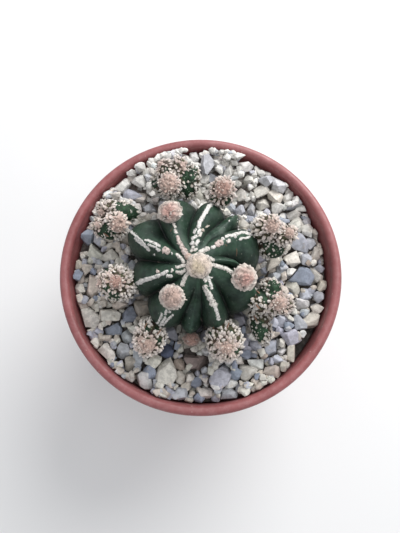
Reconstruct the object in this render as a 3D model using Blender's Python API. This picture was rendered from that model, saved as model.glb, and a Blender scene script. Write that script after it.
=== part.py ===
# Potted bishop's cap cactus: a ribbed stem with woolly seams and offsets, standing in gravel and soil
# in a round plastic pot. Metres, +Z up. The origin is under the middle of the pot, on the surface that
# the pot stands on. Compass bearings are in degrees, counter-clockwise from +X.

import math
import random

import bmesh
import bpy
from mathutils import Matrix, Vector
from mathutils.geometry import delaunay_2d_cdt

MM = 0.001
CLEAR = 0.35 * MM  # air between two pieces that touch on the real plant

# Pot
POT_HEIGHT = 68 * MM
RIM_RADIUS = 42.5 * MM
LIP_WIDTH = 3 * MM
LIP_STEPS = 6
LIP_DROP = 3.2 * MM
COLLAR_HEIGHT = 12.6 * MM
COLLAR_WALL = 1.7 * MM
COLLAR_DRAFT = 0.3 * MM
STEP_WIDTH = 1.3 * MM
STEP_HEIGHT = 1 * MM
BODY_WALL = 1.4 * MM
FOOT_RADIUS = 29 * MM
FOOT_WIDTH = 3 * MM
EDGE = 0.5 * MM
BASE_RECESS = 1.2 * MM
BASE_THICKNESS = 1.4 * MM
DRAIN_HOLES = 6
DRAIN_RADIUS = 2.7 * MM
DRAIN_CIRCLE = 17 * MM
DRAIN_SIDES = 10
POT_SIDES = 44

# Soil and gravel
SOIL_TOP = 57.3 * MM
BED_BOTTOM = 57.65 * MM
BED_TOP = 61.2 * MM
STONE_SPACING = 3.85 * MM
STONE_TRIES = 6000
STONE_GUARDS = 60
STONE_GUARD_REACH = 1.2 * MM
STONE_FOOT = 61.6 * MM
STONE_TOP = (62.8 * MM, 64.4 * MM)
STONE_SHRINK = (0.55, 0.75)  # a stone's top against its foot
STONE_TILT = 0.3
STONE_SKIRT = 1.2 * MM
STONE_SEED = 11

# Stem: the axis leans a little towards -Y, so the crown stands forward of the foot
AXIS_X = -0.6 * MM
AXIS_Y = 0.6 * MM
AXIS_FOOT = 60 * MM
LEAN = 0.133
CROWN_TOP = 87.2 * MM
WIDEST = 70 * MM
DOME_POWER = 2.2
NECK_HEIGHT = 58 * MM
NECK_RADIUS = 8.5 * MM
ROOT_RADIUS = 4.5 * MM
ROOT_HEIGHT = 45 * MM
ROOT_TIP = 38 * MM
ROOT_HOLE_SIDES = 16
VALLEY_DEPTH = 5.2 * MM
VALLEY_OPENS = (3, 45)
VALLEY_CLOSES = (50, 160)
FACE_SLOPE = 0.5  # share of a rib's flank that falls evenly; the rest steepens towards the valley
# Angles down the meridian, from the crown (0) over the widest level (90) to the neck (180)
LEVELS = (6, 13, 21, 31, 41, 52, 64, 77, 90, 106, 124, 146, 180)

# Wool on the crown and along the crests
WOOL_THICKNESS = 0.8 * MM
CAP_RADIUS = 3.3 * MM
CAP_HEIGHT = 1.9 * MM
CAP_RINGS = (0.4, 0.75, 1)
SEAM_EDGE = 0.6  # height of a seam's edge against its middle
SEAM_SHARE = 0.8  # most of a rib's flank that a seam covers

# Offsets and woolly buds
TUFT_SPREAD = 2.7 * MM
TUFT_HEIGHT = (0.4 * MM, 0.8 * MM)
TUFT_DIP = 0.35 * MM
TUFT_SEED = 5

# Each rib: bearing at the widest level, how much further round it starts at the crown, reach from the
# axis, and the bearing and turn of the valley that follows it. A short rib also has the levels between
# which it rises out of the valley, with its height against a full rib, or fades into the valley.
RIBS = {
    "east": dict(bearing=-26, turn=30, reach=19.2 * MM, valley=-15, valley_turn=30),
    "east_small": dict(bearing=-10, turn=36, reach=18.6 * MM, valley=-4, valley_turn=44, fades=(28, 55)),
    "northeast": dict(bearing=31, turn=31, reach=19.6 * MM, valley=47.5, valley_turn=33),
    "north_low": dict(bearing=55, turn=31, reach=21 * MM, valley=63, valley_turn=29, rises=(45, 80, 0.8)),
    "north": dict(bearing=78.5, turn=27, reach=20.8 * MM, valley=92, valley_turn=31),
    "northwest": dict(bearing=111.5, turn=29.5, reach=23 * MM, valley=129, valley_turn=24),
    "west_upper": dict(bearing=153, turn=4.5, reach=23.6 * MM, valley=171, valley_turn=5),
    "west": dict(bearing=194.5, turn=-4, reach=19.4 * MM, valley=209, valley_turn=8),
    "southwest": dict(bearing=235, turn=-7, reach=20.4 * MM, valley=252, valley_turn=14),
    "south_low": dict(bearing=263, turn=8, reach=18.9 * MM, valley=274, valley_turn=4, rises=(50, 85, 1.0)),
    "south": dict(bearing=289, turn=3, reach=18.6 * MM, valley=304.5, valley_turn=15),
}
FACE_COLUMNS = 3
SHORT_FACE_COLUMNS = 2

# Wool seams: the level where each ends and its half width near the crown and at its end
SEAMS = {
    "east": (57, 0.65 * MM, 0.45 * MM),
    "east_small": (20, 0.7 * MM, 0.5 * MM),
    "northeast": (58, 0.75 * MM, 0.6 * MM),
    "north": (62, 0.8 * MM, 0.6 * MM),
    "northwest": (66, 0.95 * MM, 0.5 * MM),
    "west_upper": (70, 0.8 * MM, 0.6 * MM),
    "west": (62, 0.7 * MM, 0.6 * MM),
    "southwest": (64, 0.6 * MM, 0.6 * MM),
    "south": (52, 0.8 * MM, 0.55 * MM),
}

# Woolly buds on the crests and low on the stem: bearing, distance from the axis, height, radius and
# how far the hollow under each stands off the skin
ON_SEAM = WOOL_THICKNESS + 2 * CLEAR
ON_SKIN = 1.4 * CLEAR
BUDS = {
    "bud_northwest": (117.7, 16.9 * MM, 84.8 * MM, 3.4 * MM, ON_SEAM),
    "bud_east": (-15.2, 12.3 * MM, 87.0 * MM, 3.4 * MM, ON_SEAM),
    "bud_southwest": (232, 10.8 * MM, 87.7 * MM, 3.4 * MM, ON_SEAM),
    "bud_low": (264.6, 20.4 * MM, 68.4 * MM, 2.4 * MM, ON_SKIN),
}
BUD_COLUMNS = 14
BUD_ROWS = 6
BUD_SCALLOPS = 7
BUD_RIPPLE = 0.06
BUD_FLATNESS = 0.88

# Offsets: each head is the bearing, distance and height of its foot, the same of its tip, and its
# radius, in degrees and millimetres
OFFSETS = {
    "offset_northwest": (
        ((110, 25.4, 73), (108.6, 31.6, 76), 3.2),
        ((104, 25.4, 72), (100.8, 31.6, 76.2), 3.1),
        ((98, 24.4, 70.5), (94.2, 29.6, 73), 3.0),
        ((112, 26.4, 71), (114.6, 29.4, 71.5), 2.9),
        ((109.5, 25.2, 78.4), (109, 26.2, 79.4), 2.8),
    ),
    "offset_north": (
        ((74, 22.6, 76.0), (73.6, 24.4, 77.4), 3.9),
    ),
    "offset_northeast": (
        ((32, 21.6, 77.2), (31.5, 23.0, 79.0), 3.8),
        ((24, 24.6, 74.6), (22.2, 27.3, 75.8), 3.2),
        ((20, 21.4, 71.6), (17, 23.4, 71.4), 3.7),
    ),
    "offset_east": (
        ((-24, 21.0, 76.0), (-23.3, 25.4, 76.6), 3.4),
        ((-28, 18.8, 75.0), (-28.5, 20.0, 76.2), 3.4),
        ((-36, 20.4, 72.0), (-46.0, 27.0, 70.0), 3.1),
        ((-16, 20.2, 76.4), (-14.6, 21.4, 77.4), 2.6),
    ),
    "offset_south": (
        ((-70, 20.6, 72.4), (-70, 22.6, 74.0), 5.4),
    ),
    "offset_southwest": (
        ((234, 22.8, 71.4), (236.4, 25.0, 73.0), 4.7),
    ),
    "offset_west": (
        ((192, 22.4, 73.6), (190, 24.2, 75.4), 5.3),
    ),
    "offset_west_upper": (
        ((140, 26.4, 72.4), (147.2, 32.6, 75), 3.2),
        ((154, 27.2, 72.6), (156, 30.8, 73.6), 3.7),
        ((150, 26.4, 78), (151, 27.2, 79), 2.8),
    ),
}
GOLDEN_ANGLE = math.pi * (3 - math.sqrt(5))

COLOURS = {
    "plastic": ((0.33, 0.11, 0.09, 1), 0.38),
    "soil": ((0.05, 0.035, 0.025, 1), 0.95),
    "gravel": ((0.55, 0.52, 0.48, 1), 0.85),
    "skin": ((0.035, 0.075, 0.05, 1), 0.5),
    "wool": ((0.78, 0.73, 0.66, 1), 0.95),
    "pink_wool": ((0.6, 0.42, 0.34, 1), 0.95),
}


def clear_scene():
    for item in list(bpy.data.objects):
        bpy.data.objects.remove(item, do_unlink=True)


def material(name):
    colour, roughness = COLOURS[name]
    made = bpy.data.materials.new(name)
    made.use_nodes = True
    shader = made.node_tree.nodes["Principled BSDF"]
    shader.inputs["Base Color"].default_value = colour
    shader.inputs["Roughness"].default_value = roughness
    made.diffuse_color = colour
    return made


def add_object(name, bm):
    mesh = bpy.data.meshes.new(name)
    bm.to_mesh(mesh)
    bm.free()
    made = bpy.data.objects.new(name, mesh)
    bpy.context.scene.collection.objects.link(made)
    return made


def finish(piece, material_name, sharp_angle=None):
    piece.data.materials.clear()
    piece.data.materials.append(material(material_name))
    if sharp_angle is not None:
        piece.data.shade_smooth()
        piece.data.set_sharp_from_angle(angle=math.radians(sharp_angle))
    return piece


def ramp(value, start, end):
    share = min(max((value - start) / (end - start), 0), 1)
    return share * share * (3 - 2 * share)


def keep_largest(mesh):
    # Drops the loose scraps that a cut can leave beside the main body
    bm = bmesh.new()
    bm.from_mesh(mesh)
    unseen = set(bm.verts)
    bodies = []
    while unseen:
        front = [unseen.pop()]
        body = set(front)
        while front:
            vert = front.pop()
            for edge in vert.link_edges:
                other = edge.other_vert(vert)
                if other in unseen:
                    unseen.discard(other)
                    body.add(other)
                    front.append(other)
        bodies.append(body)
    largest = max(bodies, key=len)
    scraps = [vert for body in bodies if body is not largest for vert in body]
    bmesh.ops.delete(bm, geom=scraps, context="VERTS")
    bmesh.ops.triangulate(bm, faces=bm.faces[:], ngon_method="EAR_CLIP")
    bm.to_mesh(mesh)
    bm.free()


def combine(piece, others, operation, solver="EXACT"):
    # One Boolean with every object in others, applied, after which those objects are removed
    group = bpy.data.collections.new(piece.name + "_others")
    bpy.context.scene.collection.children.link(group)
    for other in others:
        bpy.context.scene.collection.objects.unlink(other)
        group.objects.link(other)
    boolean = piece.modifiers.new(operation.lower(), "BOOLEAN")
    boolean.operation = operation
    boolean.operand_type = "COLLECTION"
    boolean.collection = group
    boolean.solver = solver
    evaluated = piece.evaluated_get(bpy.context.evaluated_depsgraph_get())
    result = bpy.data.meshes.new_from_object(evaluated)
    piece.modifiers.clear()
    piece.data = result
    for other in others:
        bpy.data.objects.remove(other, do_unlink=True)
    bpy.data.collections.remove(group)
    keep_largest(piece.data)
    return piece


def turned(name, profile, sides=POT_SIDES):
    # Spins a profile of (radius, height) points, whose two ends lie on the Z axis
    bm = bmesh.new()
    verts = [bm.verts.new((radius, 0, height)) for radius, height in profile]
    edges = [bm.edges.new(pair) for pair in zip(verts, verts[1:])]
    bmesh.ops.spin(bm, geom=verts + edges, cent=(0, 0, 0), axis=(0, 0, 1), angle=math.tau,
                   steps=sides, use_merge=True, use_duplicate=False)
    bmesh.ops.remove_doubles(bm, verts=bm.verts[:], dist=CLEAR / 100)
    bmesh.ops.recalc_face_normals(bm, faces=bm.faces[:])
    return add_object(name, bm)


# Pot

def inner_wall():
    # The pot's inside, from the floor up to the lip
    floor = BASE_RECESS + BASE_THICKNESS
    step_top = POT_HEIGHT - COLLAR_HEIGHT + 2 * STEP_HEIGHT
    lip_inside = RIM_RADIUS - LIP_WIDTH
    return [
        (FOOT_RADIUS - BODY_WALL, floor),
        (lip_inside - COLLAR_DRAFT - STEP_WIDTH, step_top - STEP_HEIGHT),
        (lip_inside - COLLAR_DRAFT, step_top),
        (lip_inside, POT_HEIGHT - LIP_WIDTH / 2),
    ]


def outer_wall():
    # The pot's outside, from the lip down to the foot and in under the base
    collar = RIM_RADIUS - LIP_WIDTH + COLLAR_WALL
    collar_bottom = POT_HEIGHT - COLLAR_HEIGHT
    body_top = RIM_RADIUS - LIP_WIDTH - COLLAR_DRAFT - STEP_WIDTH + BODY_WALL
    return [
        (RIM_RADIUS, POT_HEIGHT - LIP_DROP + EDGE),
        (RIM_RADIUS - EDGE, POT_HEIGHT - LIP_DROP),
        (collar, POT_HEIGHT - LIP_DROP - EDGE),
        (collar - COLLAR_DRAFT, collar_bottom + EDGE),
        (collar - COLLAR_DRAFT - EDGE, collar_bottom),
        (body_top, collar_bottom - EDGE),
        (FOOT_RADIUS + EDGE / 2, EDGE),
        (FOOT_RADIUS, 0),
        (FOOT_RADIUS - FOOT_WIDTH, 0),
        (FOOT_RADIUS - FOOT_WIDTH - EDGE, BASE_RECESS),
        (0, BASE_RECESS),
    ]


def lip():
    # Half round over the top of the wall, from the inside to the outside
    radius = LIP_WIDTH / 2
    middle = RIM_RADIUS - radius
    angles = [math.pi * (1 - step / LIP_STEPS) for step in range(1, LIP_STEPS + 1)]
    return [(middle + radius * math.cos(angle), POT_HEIGHT - radius + radius * math.sin(angle))
            for angle in angles]


def make_pot():
    floor = BASE_RECESS + BASE_THICKNESS
    pot = turned("pot", [(0, floor)] + inner_wall() + lip() + outer_wall())
    drains = []
    for index in range(DRAIN_HOLES):
        angle = math.tau * index / DRAIN_HOLES
        bm = bmesh.new()
        spot = (DRAIN_CIRCLE * math.cos(angle), DRAIN_CIRCLE * math.sin(angle), floor / 2)
        place = Matrix.Translation(spot)
        bmesh.ops.create_cone(bm, cap_ends=True, segments=DRAIN_SIDES, radius1=DRAIN_RADIUS,
                              radius2=DRAIN_RADIUS, depth=2 * floor, matrix=place)
        drains.append(add_object("drain", bm))
    combine(pot, drains, "DIFFERENCE")
    return finish(pot, "plastic", sharp_angle=40)


# Stem

def axis_at(height):
    return Vector((AXIS_X, AXIS_Y - LEAN * (height - AXIS_FOOT), height))


def from_axis(bearing, distance, height):
    angle = math.radians(bearing)
    return axis_at(height) + Vector((distance * math.cos(angle), distance * math.sin(angle), 0))


def bearing_at(bearing, turn, level):
    return bearing + turn * max(1 - level / 90, 0) ** 2


def meridian(level, reach):
    # Distance from the axis, height and outward direction of a crest at this level
    angle = math.radians(level)
    dome = CROWN_TOP - WIDEST
    if level <= 90:
        across = max(math.sin(angle), 0) ** (2 / DOME_POWER)
        up = max(math.cos(angle), 0) ** (2 / DOME_POWER)
        slope = DOME_POWER - 1
        normal = Vector((across ** slope / reach, up ** slope / dome))
        return reach * across, WIDEST + dome * up, normal.normalized()
    if level >= 180:
        return NECK_RADIUS, NECK_HEIGHT, Vector((1, -1))
    waist = reach - NECK_RADIUS
    drop = WIDEST - NECK_HEIGHT
    across = math.sin(angle)
    down = -math.cos(angle)
    normal = Vector((across / waist, -down / drop))
    return NECK_RADIUS + waist * across, WIDEST - drop * down, normal.normalized()


def valley_depth(level):
    return VALLEY_DEPTH * ramp(level, *VALLEY_OPENS) * (1 - ramp(level, *VALLEY_CLOSES))


def rib_height(rib, level):
    # 1 for a full rib, 0 where a short rib lies level with its valleys
    height = 1
    if "rises" in rib:
        start, end, full = rib["rises"]
        height = full * ramp(level, start, end)
    if "fades" in rib:
        height = 1 - ramp(level, *rib["fades"])
    return height


def stem_point(rib_name, side, share, level, lift=0):
    # A point on a rib: side is -1 for its clockwise flank and 1 for the other, share runs from 0 on
    # the crest to 1 in the valley, and lift stands it off along the crest's outward direction
    names = list(RIBS)
    index = names.index(rib_name)
    rib = RIBS[rib_name]
    next_rib = RIBS[names[(index + side) % len(names)]]
    valley_owner = rib if side > 0 else next_rib
    crest = bearing_at(rib["bearing"], rib["turn"], level)
    valley = bearing_at(valley_owner["valley"], valley_owner["valley_turn"], level)
    gap = (valley - crest) * side % 360
    reach = rib["reach"] + (next_rib["reach"] - rib["reach"]) * share / 2
    radius, height, normal = meridian(level, reach)
    fall = FACE_SLOPE * share + (1 - FACE_SLOPE) * share ** 3
    crest_fall = 1 - rib_height(rib, level)
    depth = valley_depth(level) * (crest_fall + (1 - crest_fall) * fall) - lift
    bearing = crest + side * gap * share
    return from_axis(bearing, radius - depth * normal.x, height - depth * normal.y)


def stem_columns():
    # Every column of the stem as (rib, side, share), counter-clockwise
    columns = []
    for name, rib in RIBS.items():
        count = SHORT_FACE_COLUMNS if "rises" in rib or "fades" in rib else FACE_COLUMNS
        shares = [step / count for step in range(count + 1)]
        columns += [(name, -1, share) for share in reversed(shares[:-1])]
        columns += [(name, 1, share) for share in shares[1:]]
    return columns


def stem_mesh(lift=0):
    bm = bmesh.new()
    columns = stem_columns()
    top = bm.verts.new(axis_at(CROWN_TOP + lift))
    rings = [[bm.verts.new(stem_point(*column, level, lift)) for column in columns] for level in LEVELS]
    outward = [(vert.co - axis_at(NECK_HEIGHT)).to_2d().normalized() for vert in rings[-1]]
    root = axis_at(ROOT_HEIGHT)
    rings.append([bm.verts.new(root + (step * (ROOT_RADIUS + lift)).to_3d()) for step in outward])
    tip = bm.verts.new(axis_at(ROOT_TIP - lift))
    for index in range(len(columns)):
        after = (index + 1) % len(columns)
        bm.faces.new((top, rings[0][index], rings[0][after]))
        for upper, lower in zip(rings, rings[1:]):
            bm.faces.new((upper[index], lower[index], lower[after], upper[after]))
        bm.faces.new((tip, rings[-1][after], rings[-1][index]))
    bmesh.ops.triangulate(bm, faces=bm.faces[:])
    return bm


def stem_cutter(lift):
    return add_object("stem_space", stem_mesh(lift))


def make_stem():
    return finish(add_object("stem", stem_mesh()), "skin", sharp_angle=35)


# Wool

def seam_section(rib_name, level, half, middle_height, edge_height):
    # Three points next to the skin and three outside, from the clockwise edge of the seam to the other
    inner = []
    outer = []
    for side, height in ((-1, edge_height), (0, middle_height), (1, edge_height)):
        share = 0
        if side:
            flank = stem_point(rib_name, side, 1, level) - stem_point(rib_name, side, 0, level)
            share = min(half / flank.to_2d().length, SEAM_SHARE)
        inner.append(stem_point(rib_name, side or 1, share, level, CLEAR))
        outer.append(stem_point(rib_name, side or 1, share, level, CLEAR + height))
    return inner, outer


def level_at(distance, reach):
    # The level at which the crown is this far out from the axis
    return math.degrees(math.asin((distance / reach) ** (DOME_POWER / 2)))


def seam_rows(rib_name):
    # The sections of one seam, starting with those that lie inside the cap
    end_level, wide, narrow = SEAMS[rib_name]
    reach = RIBS[rib_name]["reach"]
    rows = []
    for share in CAP_RINGS:
        swell = (CAP_HEIGHT - WOOL_THICKNESS) * math.cos(share * math.pi / 2)
        edge = WOOL_THICKNESS * (1 if share < 1 else SEAM_EDGE) + swell
        level = level_at(CAP_RADIUS * share, reach)
        rows.append(seam_section(rib_name, level, wide, WOOL_THICKNESS + swell, edge))
    cap_edge = level_at(CAP_RADIUS, reach)
    levels = [level for level in LEVELS if cap_edge + 2 < level < end_level - 2] + [end_level]
    for level in levels:
        half = wide + (narrow - wide) * (level - cap_edge) / (end_level - cap_edge)
        rows.append(seam_section(rib_name, level, half, WOOL_THICKNESS, WOOL_THICKNESS * SEAM_EDGE))
    return rows


def make_wool():
    # The cap on the crown, with the seams that run out from under it, as one skin of wool
    bm = bmesh.new()
    inner_top = bm.verts.new(axis_at(CROWN_TOP + CLEAR))
    outer_top = bm.verts.new(axis_at(CROWN_TOP + CLEAR + CAP_HEIGHT))
    seams = [[[[bm.verts.new(point) for point in layer] for layer in row] for row in seam_rows(name)]
             for name in RIBS if name in SEAMS]
    rings = len(CAP_RINGS)
    for row in range(rings):
        inner = [vert for seam in seams for vert in seam[row][0]]
        outer = [vert for seam in seams for vert in seam[row][1]]
        count = len(inner)
        for index in range(count):
            after = (index + 1) % count
            if row == 0:
                bm.faces.new((outer_top, outer[index], outer[after]))
                bm.faces.new((inner_top, inner[after], inner[index]))
            else:
                bm.faces.new((last_outer[index], outer[index], outer[after], last_outer[after]))
                bm.faces.new((last_inner[after], inner[after], inner[index], last_inner[index]))
        last_inner = inner
        last_outer = outer
    for index, seam in enumerate(seams):
        edge = seam[rings - 1]
        next_edge = seams[(index + 1) % len(seams)][rings - 1]
        bm.faces.new((edge[1][2], edge[0][2], next_edge[0][0], next_edge[1][0]))
        for (upper_in, upper_out), (lower_in, lower_out) in zip(seam[rings - 1:], seam[rings:]):
            for left, right in ((0, 1), (1, 2)):
                bm.faces.new((upper_out[left], lower_out[left], lower_out[right], upper_out[right]))
                bm.faces.new((upper_in[right], lower_in[right], lower_in[left], upper_in[left]))
            bm.faces.new((upper_in[0], lower_in[0], lower_out[0], upper_out[0]))
            bm.faces.new((upper_out[2], lower_out[2], lower_in[2], upper_in[2]))
        end_in, end_out = seam[-1]
        bm.faces.new(end_in + end_out[::-1])
    bmesh.ops.triangulate(bm, faces=bm.faces[:])
    return finish(add_object("wool", bm), "wool")


def make_bud(name, bearing, distance, height, radius, stand_off):
    # A ball of wool with scalloped sides, hollowed underneath to sit on its seam or on the skin
    bm = bmesh.new()
    bmesh.ops.create_uvsphere(bm, u_segments=BUD_COLUMNS, v_segments=BUD_ROWS, radius=radius)
    for vert in bm.verts:
        angle = math.atan2(vert.co.y, vert.co.x)
        level = math.hypot(vert.co.x, vert.co.y) / radius
        swell = 1 + BUD_RIPPLE * level * math.cos(BUD_SCALLOPS * angle)
        vert.co = Vector((vert.co.x * swell, vert.co.y * swell, vert.co.z * BUD_FLATNESS))
    centre = from_axis(bearing, distance, height)
    outward = (centre - axis_at(WIDEST)).normalized()
    bm.transform(Matrix.Translation(centre) @ outward.to_track_quat("Z", "Y").to_matrix().to_4x4())
    bud = add_object(name, bm)
    combine(bud, [stem_cutter(stand_off)], "DIFFERENCE")
    return finish(bud, "pink_wool", sharp_angle=50)


# Offsets

def head_frame(foot, tip):
    # Places a head whose own +Z runs from its foot to its tip
    foot_point = from_axis(foot[0], foot[1] * MM, foot[2] * MM)
    tip_point = from_axis(tip[0], tip[1] * MM, tip[2] * MM)
    length = (tip_point - foot_point).length
    turn = (tip_point - foot_point).to_track_quat("Z", "Y").to_matrix().to_4x4()
    return Matrix.Translation((foot_point + tip_point) / 2) @ turn, length / 2


def sphere_hull(points):
    # Joins points on a sphere into one closed skin
    bm = bmesh.new()
    for point in points:
        bm.verts.new(point)
    bmesh.ops.convex_hull(bm, input=bm.verts[:])
    bmesh.ops.recalc_face_normals(bm, faces=bm.faces[:])
    bm.verts.index_update()
    return bm


def make_head(foot, tip, radius, rng):
    # A long round head covered with pointed tufts, set in a spiral from its tip, with dips between them
    place, half_length = head_frame(foot, tip)
    stretch = (half_length + radius) / radius
    count = round(4 * math.pi * radius * radius * stretch / TUFT_SPREAD ** 2)
    tufts = []
    for index in range(count):
        up = 1 - 2 * (index + 0.5) / count
        around = index * GOLDEN_ANGLE
        out = math.sqrt(1 - up * up)
        tufts.append(Vector((out * math.cos(around), out * math.sin(around), up)))
    lattice = sphere_hull(tufts)
    dips = [face.calc_center_median().normalized() for face in lattice.faces]
    lattice.free()
    head = sphere_hull(tufts + dips)
    for vert in head.verts:
        normal = Vector((vert.co.x, vert.co.y, vert.co.z / stretch)).normalized()
        height = rng.uniform(*TUFT_HEIGHT) if vert.index < count else -TUFT_DIP
        vert.co = radius * Vector((vert.co.x, vert.co.y, vert.co.z * stretch)) + height * normal
    head.transform(place)
    return add_object("head", head)


def make_offset(name, heads, rng):
    pieces = [make_head(foot, tip, radius * MM, rng) for foot, tip, radius in heads]
    offset = pieces.pop(0)
    offset.name = name
    if pieces:
        combine(offset, pieces, "UNION")
    combine(offset, [stem_cutter(ON_SKIN)], "DIFFERENCE")
    return finish(offset, "wool")


# Soil and gravel

def root_hole():
    # A plain tapered hole round the root
    slack = 2 * CLEAR
    taper = (NECK_RADIUS - ROOT_RADIUS) / (NECK_HEIGHT - ROOT_HEIGHT)
    levels = [(NECK_RADIUS + slack + taper * EDGE, NECK_HEIGHT + EDGE), (ROOT_RADIUS + slack, ROOT_HEIGHT)]
    bm = bmesh.new()
    rings = []
    for radius, height in levels:
        rings.append([bm.verts.new(from_axis(360 * step / ROOT_HOLE_SIDES, radius, height))
                      for step in range(ROOT_HOLE_SIDES)])
    tip = bm.verts.new(axis_at(ROOT_TIP - slack))
    bm.faces.new(rings[0])
    for index in range(ROOT_HOLE_SIDES):
        after = (index + 1) % ROOT_HOLE_SIDES
        bm.faces.new((rings[0][index], rings[1][index], rings[1][after], rings[0][after]))
        bm.faces.new((tip, rings[1][after], rings[1][index]))
    return add_object("root_hole", bm)


def make_soil():
    inside = inner_wall()
    floor = BASE_RECESS + BASE_THICKNESS + CLEAR
    wall = inside[1][0] - CLEAR
    soil = turned("soil", [
        (0, SOIL_TOP),
        (wall, SOIL_TOP),
        (wall, inside[1][1]),
        (inside[0][0] - CLEAR, floor),
        (0, floor),
    ][::-1])
    combine(soil, [root_hole()], "DIFFERENCE")
    return finish(soil, "soil", sharp_angle=30)


def stone_spots(rng, wall):
    # Stone centres dropped at random, none closer than the spacing, and a ring of guard points outside
    spots = []
    for _ in range(STONE_TRIES):
        distance = (wall - STONE_SPACING / 2) * math.sqrt(rng.random())
        angle = rng.uniform(0, math.tau)
        spot = Vector((distance * math.cos(angle), distance * math.sin(angle)))
        if all((spot - other).length > STONE_SPACING for other in spots):
            spots.append(spot)
    reach = wall + STONE_GUARD_REACH
    turns = [math.tau * step / STONE_GUARDS for step in range(STONE_GUARDS)]
    return spots, [Vector((reach * math.cos(turn), reach * math.sin(turn))) for turn in turns]


def make_stones(wall):
    # Stones side by side: each has its own raised and tilted top, and shares its foot with the next
    rng = random.Random(STONE_SEED)
    spots, guards = stone_spots(rng, wall)
    points, _, triangles, *_ = delaunay_2d_cdt(spots + guards, [], [], 0, STONE_SPACING / 1000)
    bm = bmesh.new()
    feet = []
    around = [[] for _ in points]
    for triangle in triangles:
        middle = sum((points[corner] for corner in triangle), Vector((0, 0))) / 3
        middle *= min(1, (wall - EDGE / 4) / middle.length)
        feet.append(bm.verts.new((middle.x, middle.y, STONE_FOOT)))
        for corner in triangle:
            around[corner].append(feet[-1])
    for spot in spots:
        centre = min(range(len(points)), key=lambda index: (points[index] - spot).length)
        ring = sorted(around[centre], key=lambda vert: math.atan2(vert.co.y - spot.y, vert.co.x - spot.x))
        height = rng.uniform(*STONE_TOP)
        slope = Vector((rng.uniform(-1, 1), rng.uniform(-1, 1))) * STONE_TILT
        shrink = rng.uniform(*STONE_SHRINK)
        top = []
        for vert in ring:
            step = (vert.co.to_2d() - spot) * shrink
            top.append(bm.verts.new((spot + step).to_3d() + Vector((0, 0, height + step.dot(slope)))))
        bm.faces.new(top)
        for index in range(len(ring)):
            after = (index + 1) % len(ring)
            bm.faces.new((ring[index], ring[after], top[after], top[index]))
    bmesh.ops.delete(bm, geom=[vert for vert in bm.verts if not vert.link_faces], context="VERTS")
    border = [edge for edge in bm.edges if edge.is_boundary]
    skirt = bmesh.ops.extrude_edge_only(bm, edges=border)["geom"]
    bottom = [item for item in skirt if isinstance(item, bmesh.types.BMVert)]
    bmesh.ops.translate(bm, verts=bottom, vec=(0, 0, -STONE_SKIRT))
    bmesh.ops.holes_fill(bm, edges=[edge for edge in bm.edges if edge.is_boundary])
    bmesh.ops.recalc_face_normals(bm, faces=bm.faces[:])
    bmesh.ops.triangulate(bm, faces=bm.faces[:])
    return add_object("stones", bm)


def make_gravel():
    wall = inner_wall()[2][0] - CLEAR
    bed = turned("gravel", [(0, BED_BOTTOM), (wall, BED_BOTTOM), (wall, BED_TOP), (0, BED_TOP)])
    combine(bed, [make_stones(wall)], "UNION")
    combine(bed, [stem_cutter(2 * CLEAR)], "DIFFERENCE")
    return finish(bed, "gravel")


clear_scene()
make_pot()
make_soil()
make_gravel()
make_stem()
make_wool()
for bud_name, bud in BUDS.items():
    make_bud(bud_name, *bud)
tuft_rng = random.Random(TUFT_SEED)
for offset_name, offset_heads in OFFSETS.items():
    make_offset(offset_name, offset_heads, tuft_rng)
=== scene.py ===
import math

import bmesh
import bpy
import numpy as np
from mathutils import Matrix, Vector, noise
from mathutils.bvhtree import BVHTree


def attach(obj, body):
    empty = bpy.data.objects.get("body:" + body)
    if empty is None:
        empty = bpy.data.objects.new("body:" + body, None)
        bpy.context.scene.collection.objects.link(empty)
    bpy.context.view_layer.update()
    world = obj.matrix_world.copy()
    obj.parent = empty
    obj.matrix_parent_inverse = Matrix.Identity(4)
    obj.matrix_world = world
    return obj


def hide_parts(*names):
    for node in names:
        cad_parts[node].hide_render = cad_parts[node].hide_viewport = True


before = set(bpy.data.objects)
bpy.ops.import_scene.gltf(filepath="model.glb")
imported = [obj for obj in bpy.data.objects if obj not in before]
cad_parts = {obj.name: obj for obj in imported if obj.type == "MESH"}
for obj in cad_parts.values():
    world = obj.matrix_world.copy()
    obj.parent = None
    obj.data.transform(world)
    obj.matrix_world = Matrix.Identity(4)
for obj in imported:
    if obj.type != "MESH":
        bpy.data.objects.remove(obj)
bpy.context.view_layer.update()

mm = 0.001  # the pieces are worked out in millimetres and put in the scene in metres

# Camera: the lens and the place that the picture was taken from, found from the rim's outline
viewpoint = dict(place=(0, -30.76, 214.01), aim=(-0.22, 0.92, 67.2), lens=33.64, sensor=36,
                 wide=400, high=533)


def ramp(value, start, end):
    # Runs smoothly from 0 at the start to 1 at the end
    share = np.clip((np.asarray(value, float) - start) / (end - start), 0, 1)
    return share * share * (3 - 2 * share)


def unit(vectors):
    vectors = np.asarray(vectors, float)
    return vectors / np.maximum(np.linalg.norm(vectors, axis=-1, keepdims=True), 1e-12)


eye = np.array(viewpoint["place"], float)
ahead = unit(np.array(viewpoint["aim"]) - eye)
upward = unit(np.array((0, 1, 0)) - ahead * ahead[1])
rightward = np.cross(ahead, upward)
focal = viewpoint["lens"] / viewpoint["sensor"] * viewpoint["high"]


def pixelRay(x, y):
    # Direction from the camera through a spot of the picture, in its pixels
    across = (x - viewpoint["wide"] / 2) / focal
    down = (y - viewpoint["high"] / 2) / focal
    return unit(ahead + rightward * across - upward * down)


def pixelAt(x, y, height):
    # The spot at this height that shows at a picture's pixel
    ray = pixelRay(x, y)
    return eye + ray * (height - eye[2]) / ray[2]


def pixelOf(points):
    # Where points show in the picture, in its pixels
    rays = np.asarray(points, float) - eye
    deep = rays @ ahead
    return np.stack((rays @ rightward / deep * focal + viewpoint["wide"] / 2,
                     viewpoint["high"] / 2 - rays @ upward / deep * focal), -1)


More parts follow.
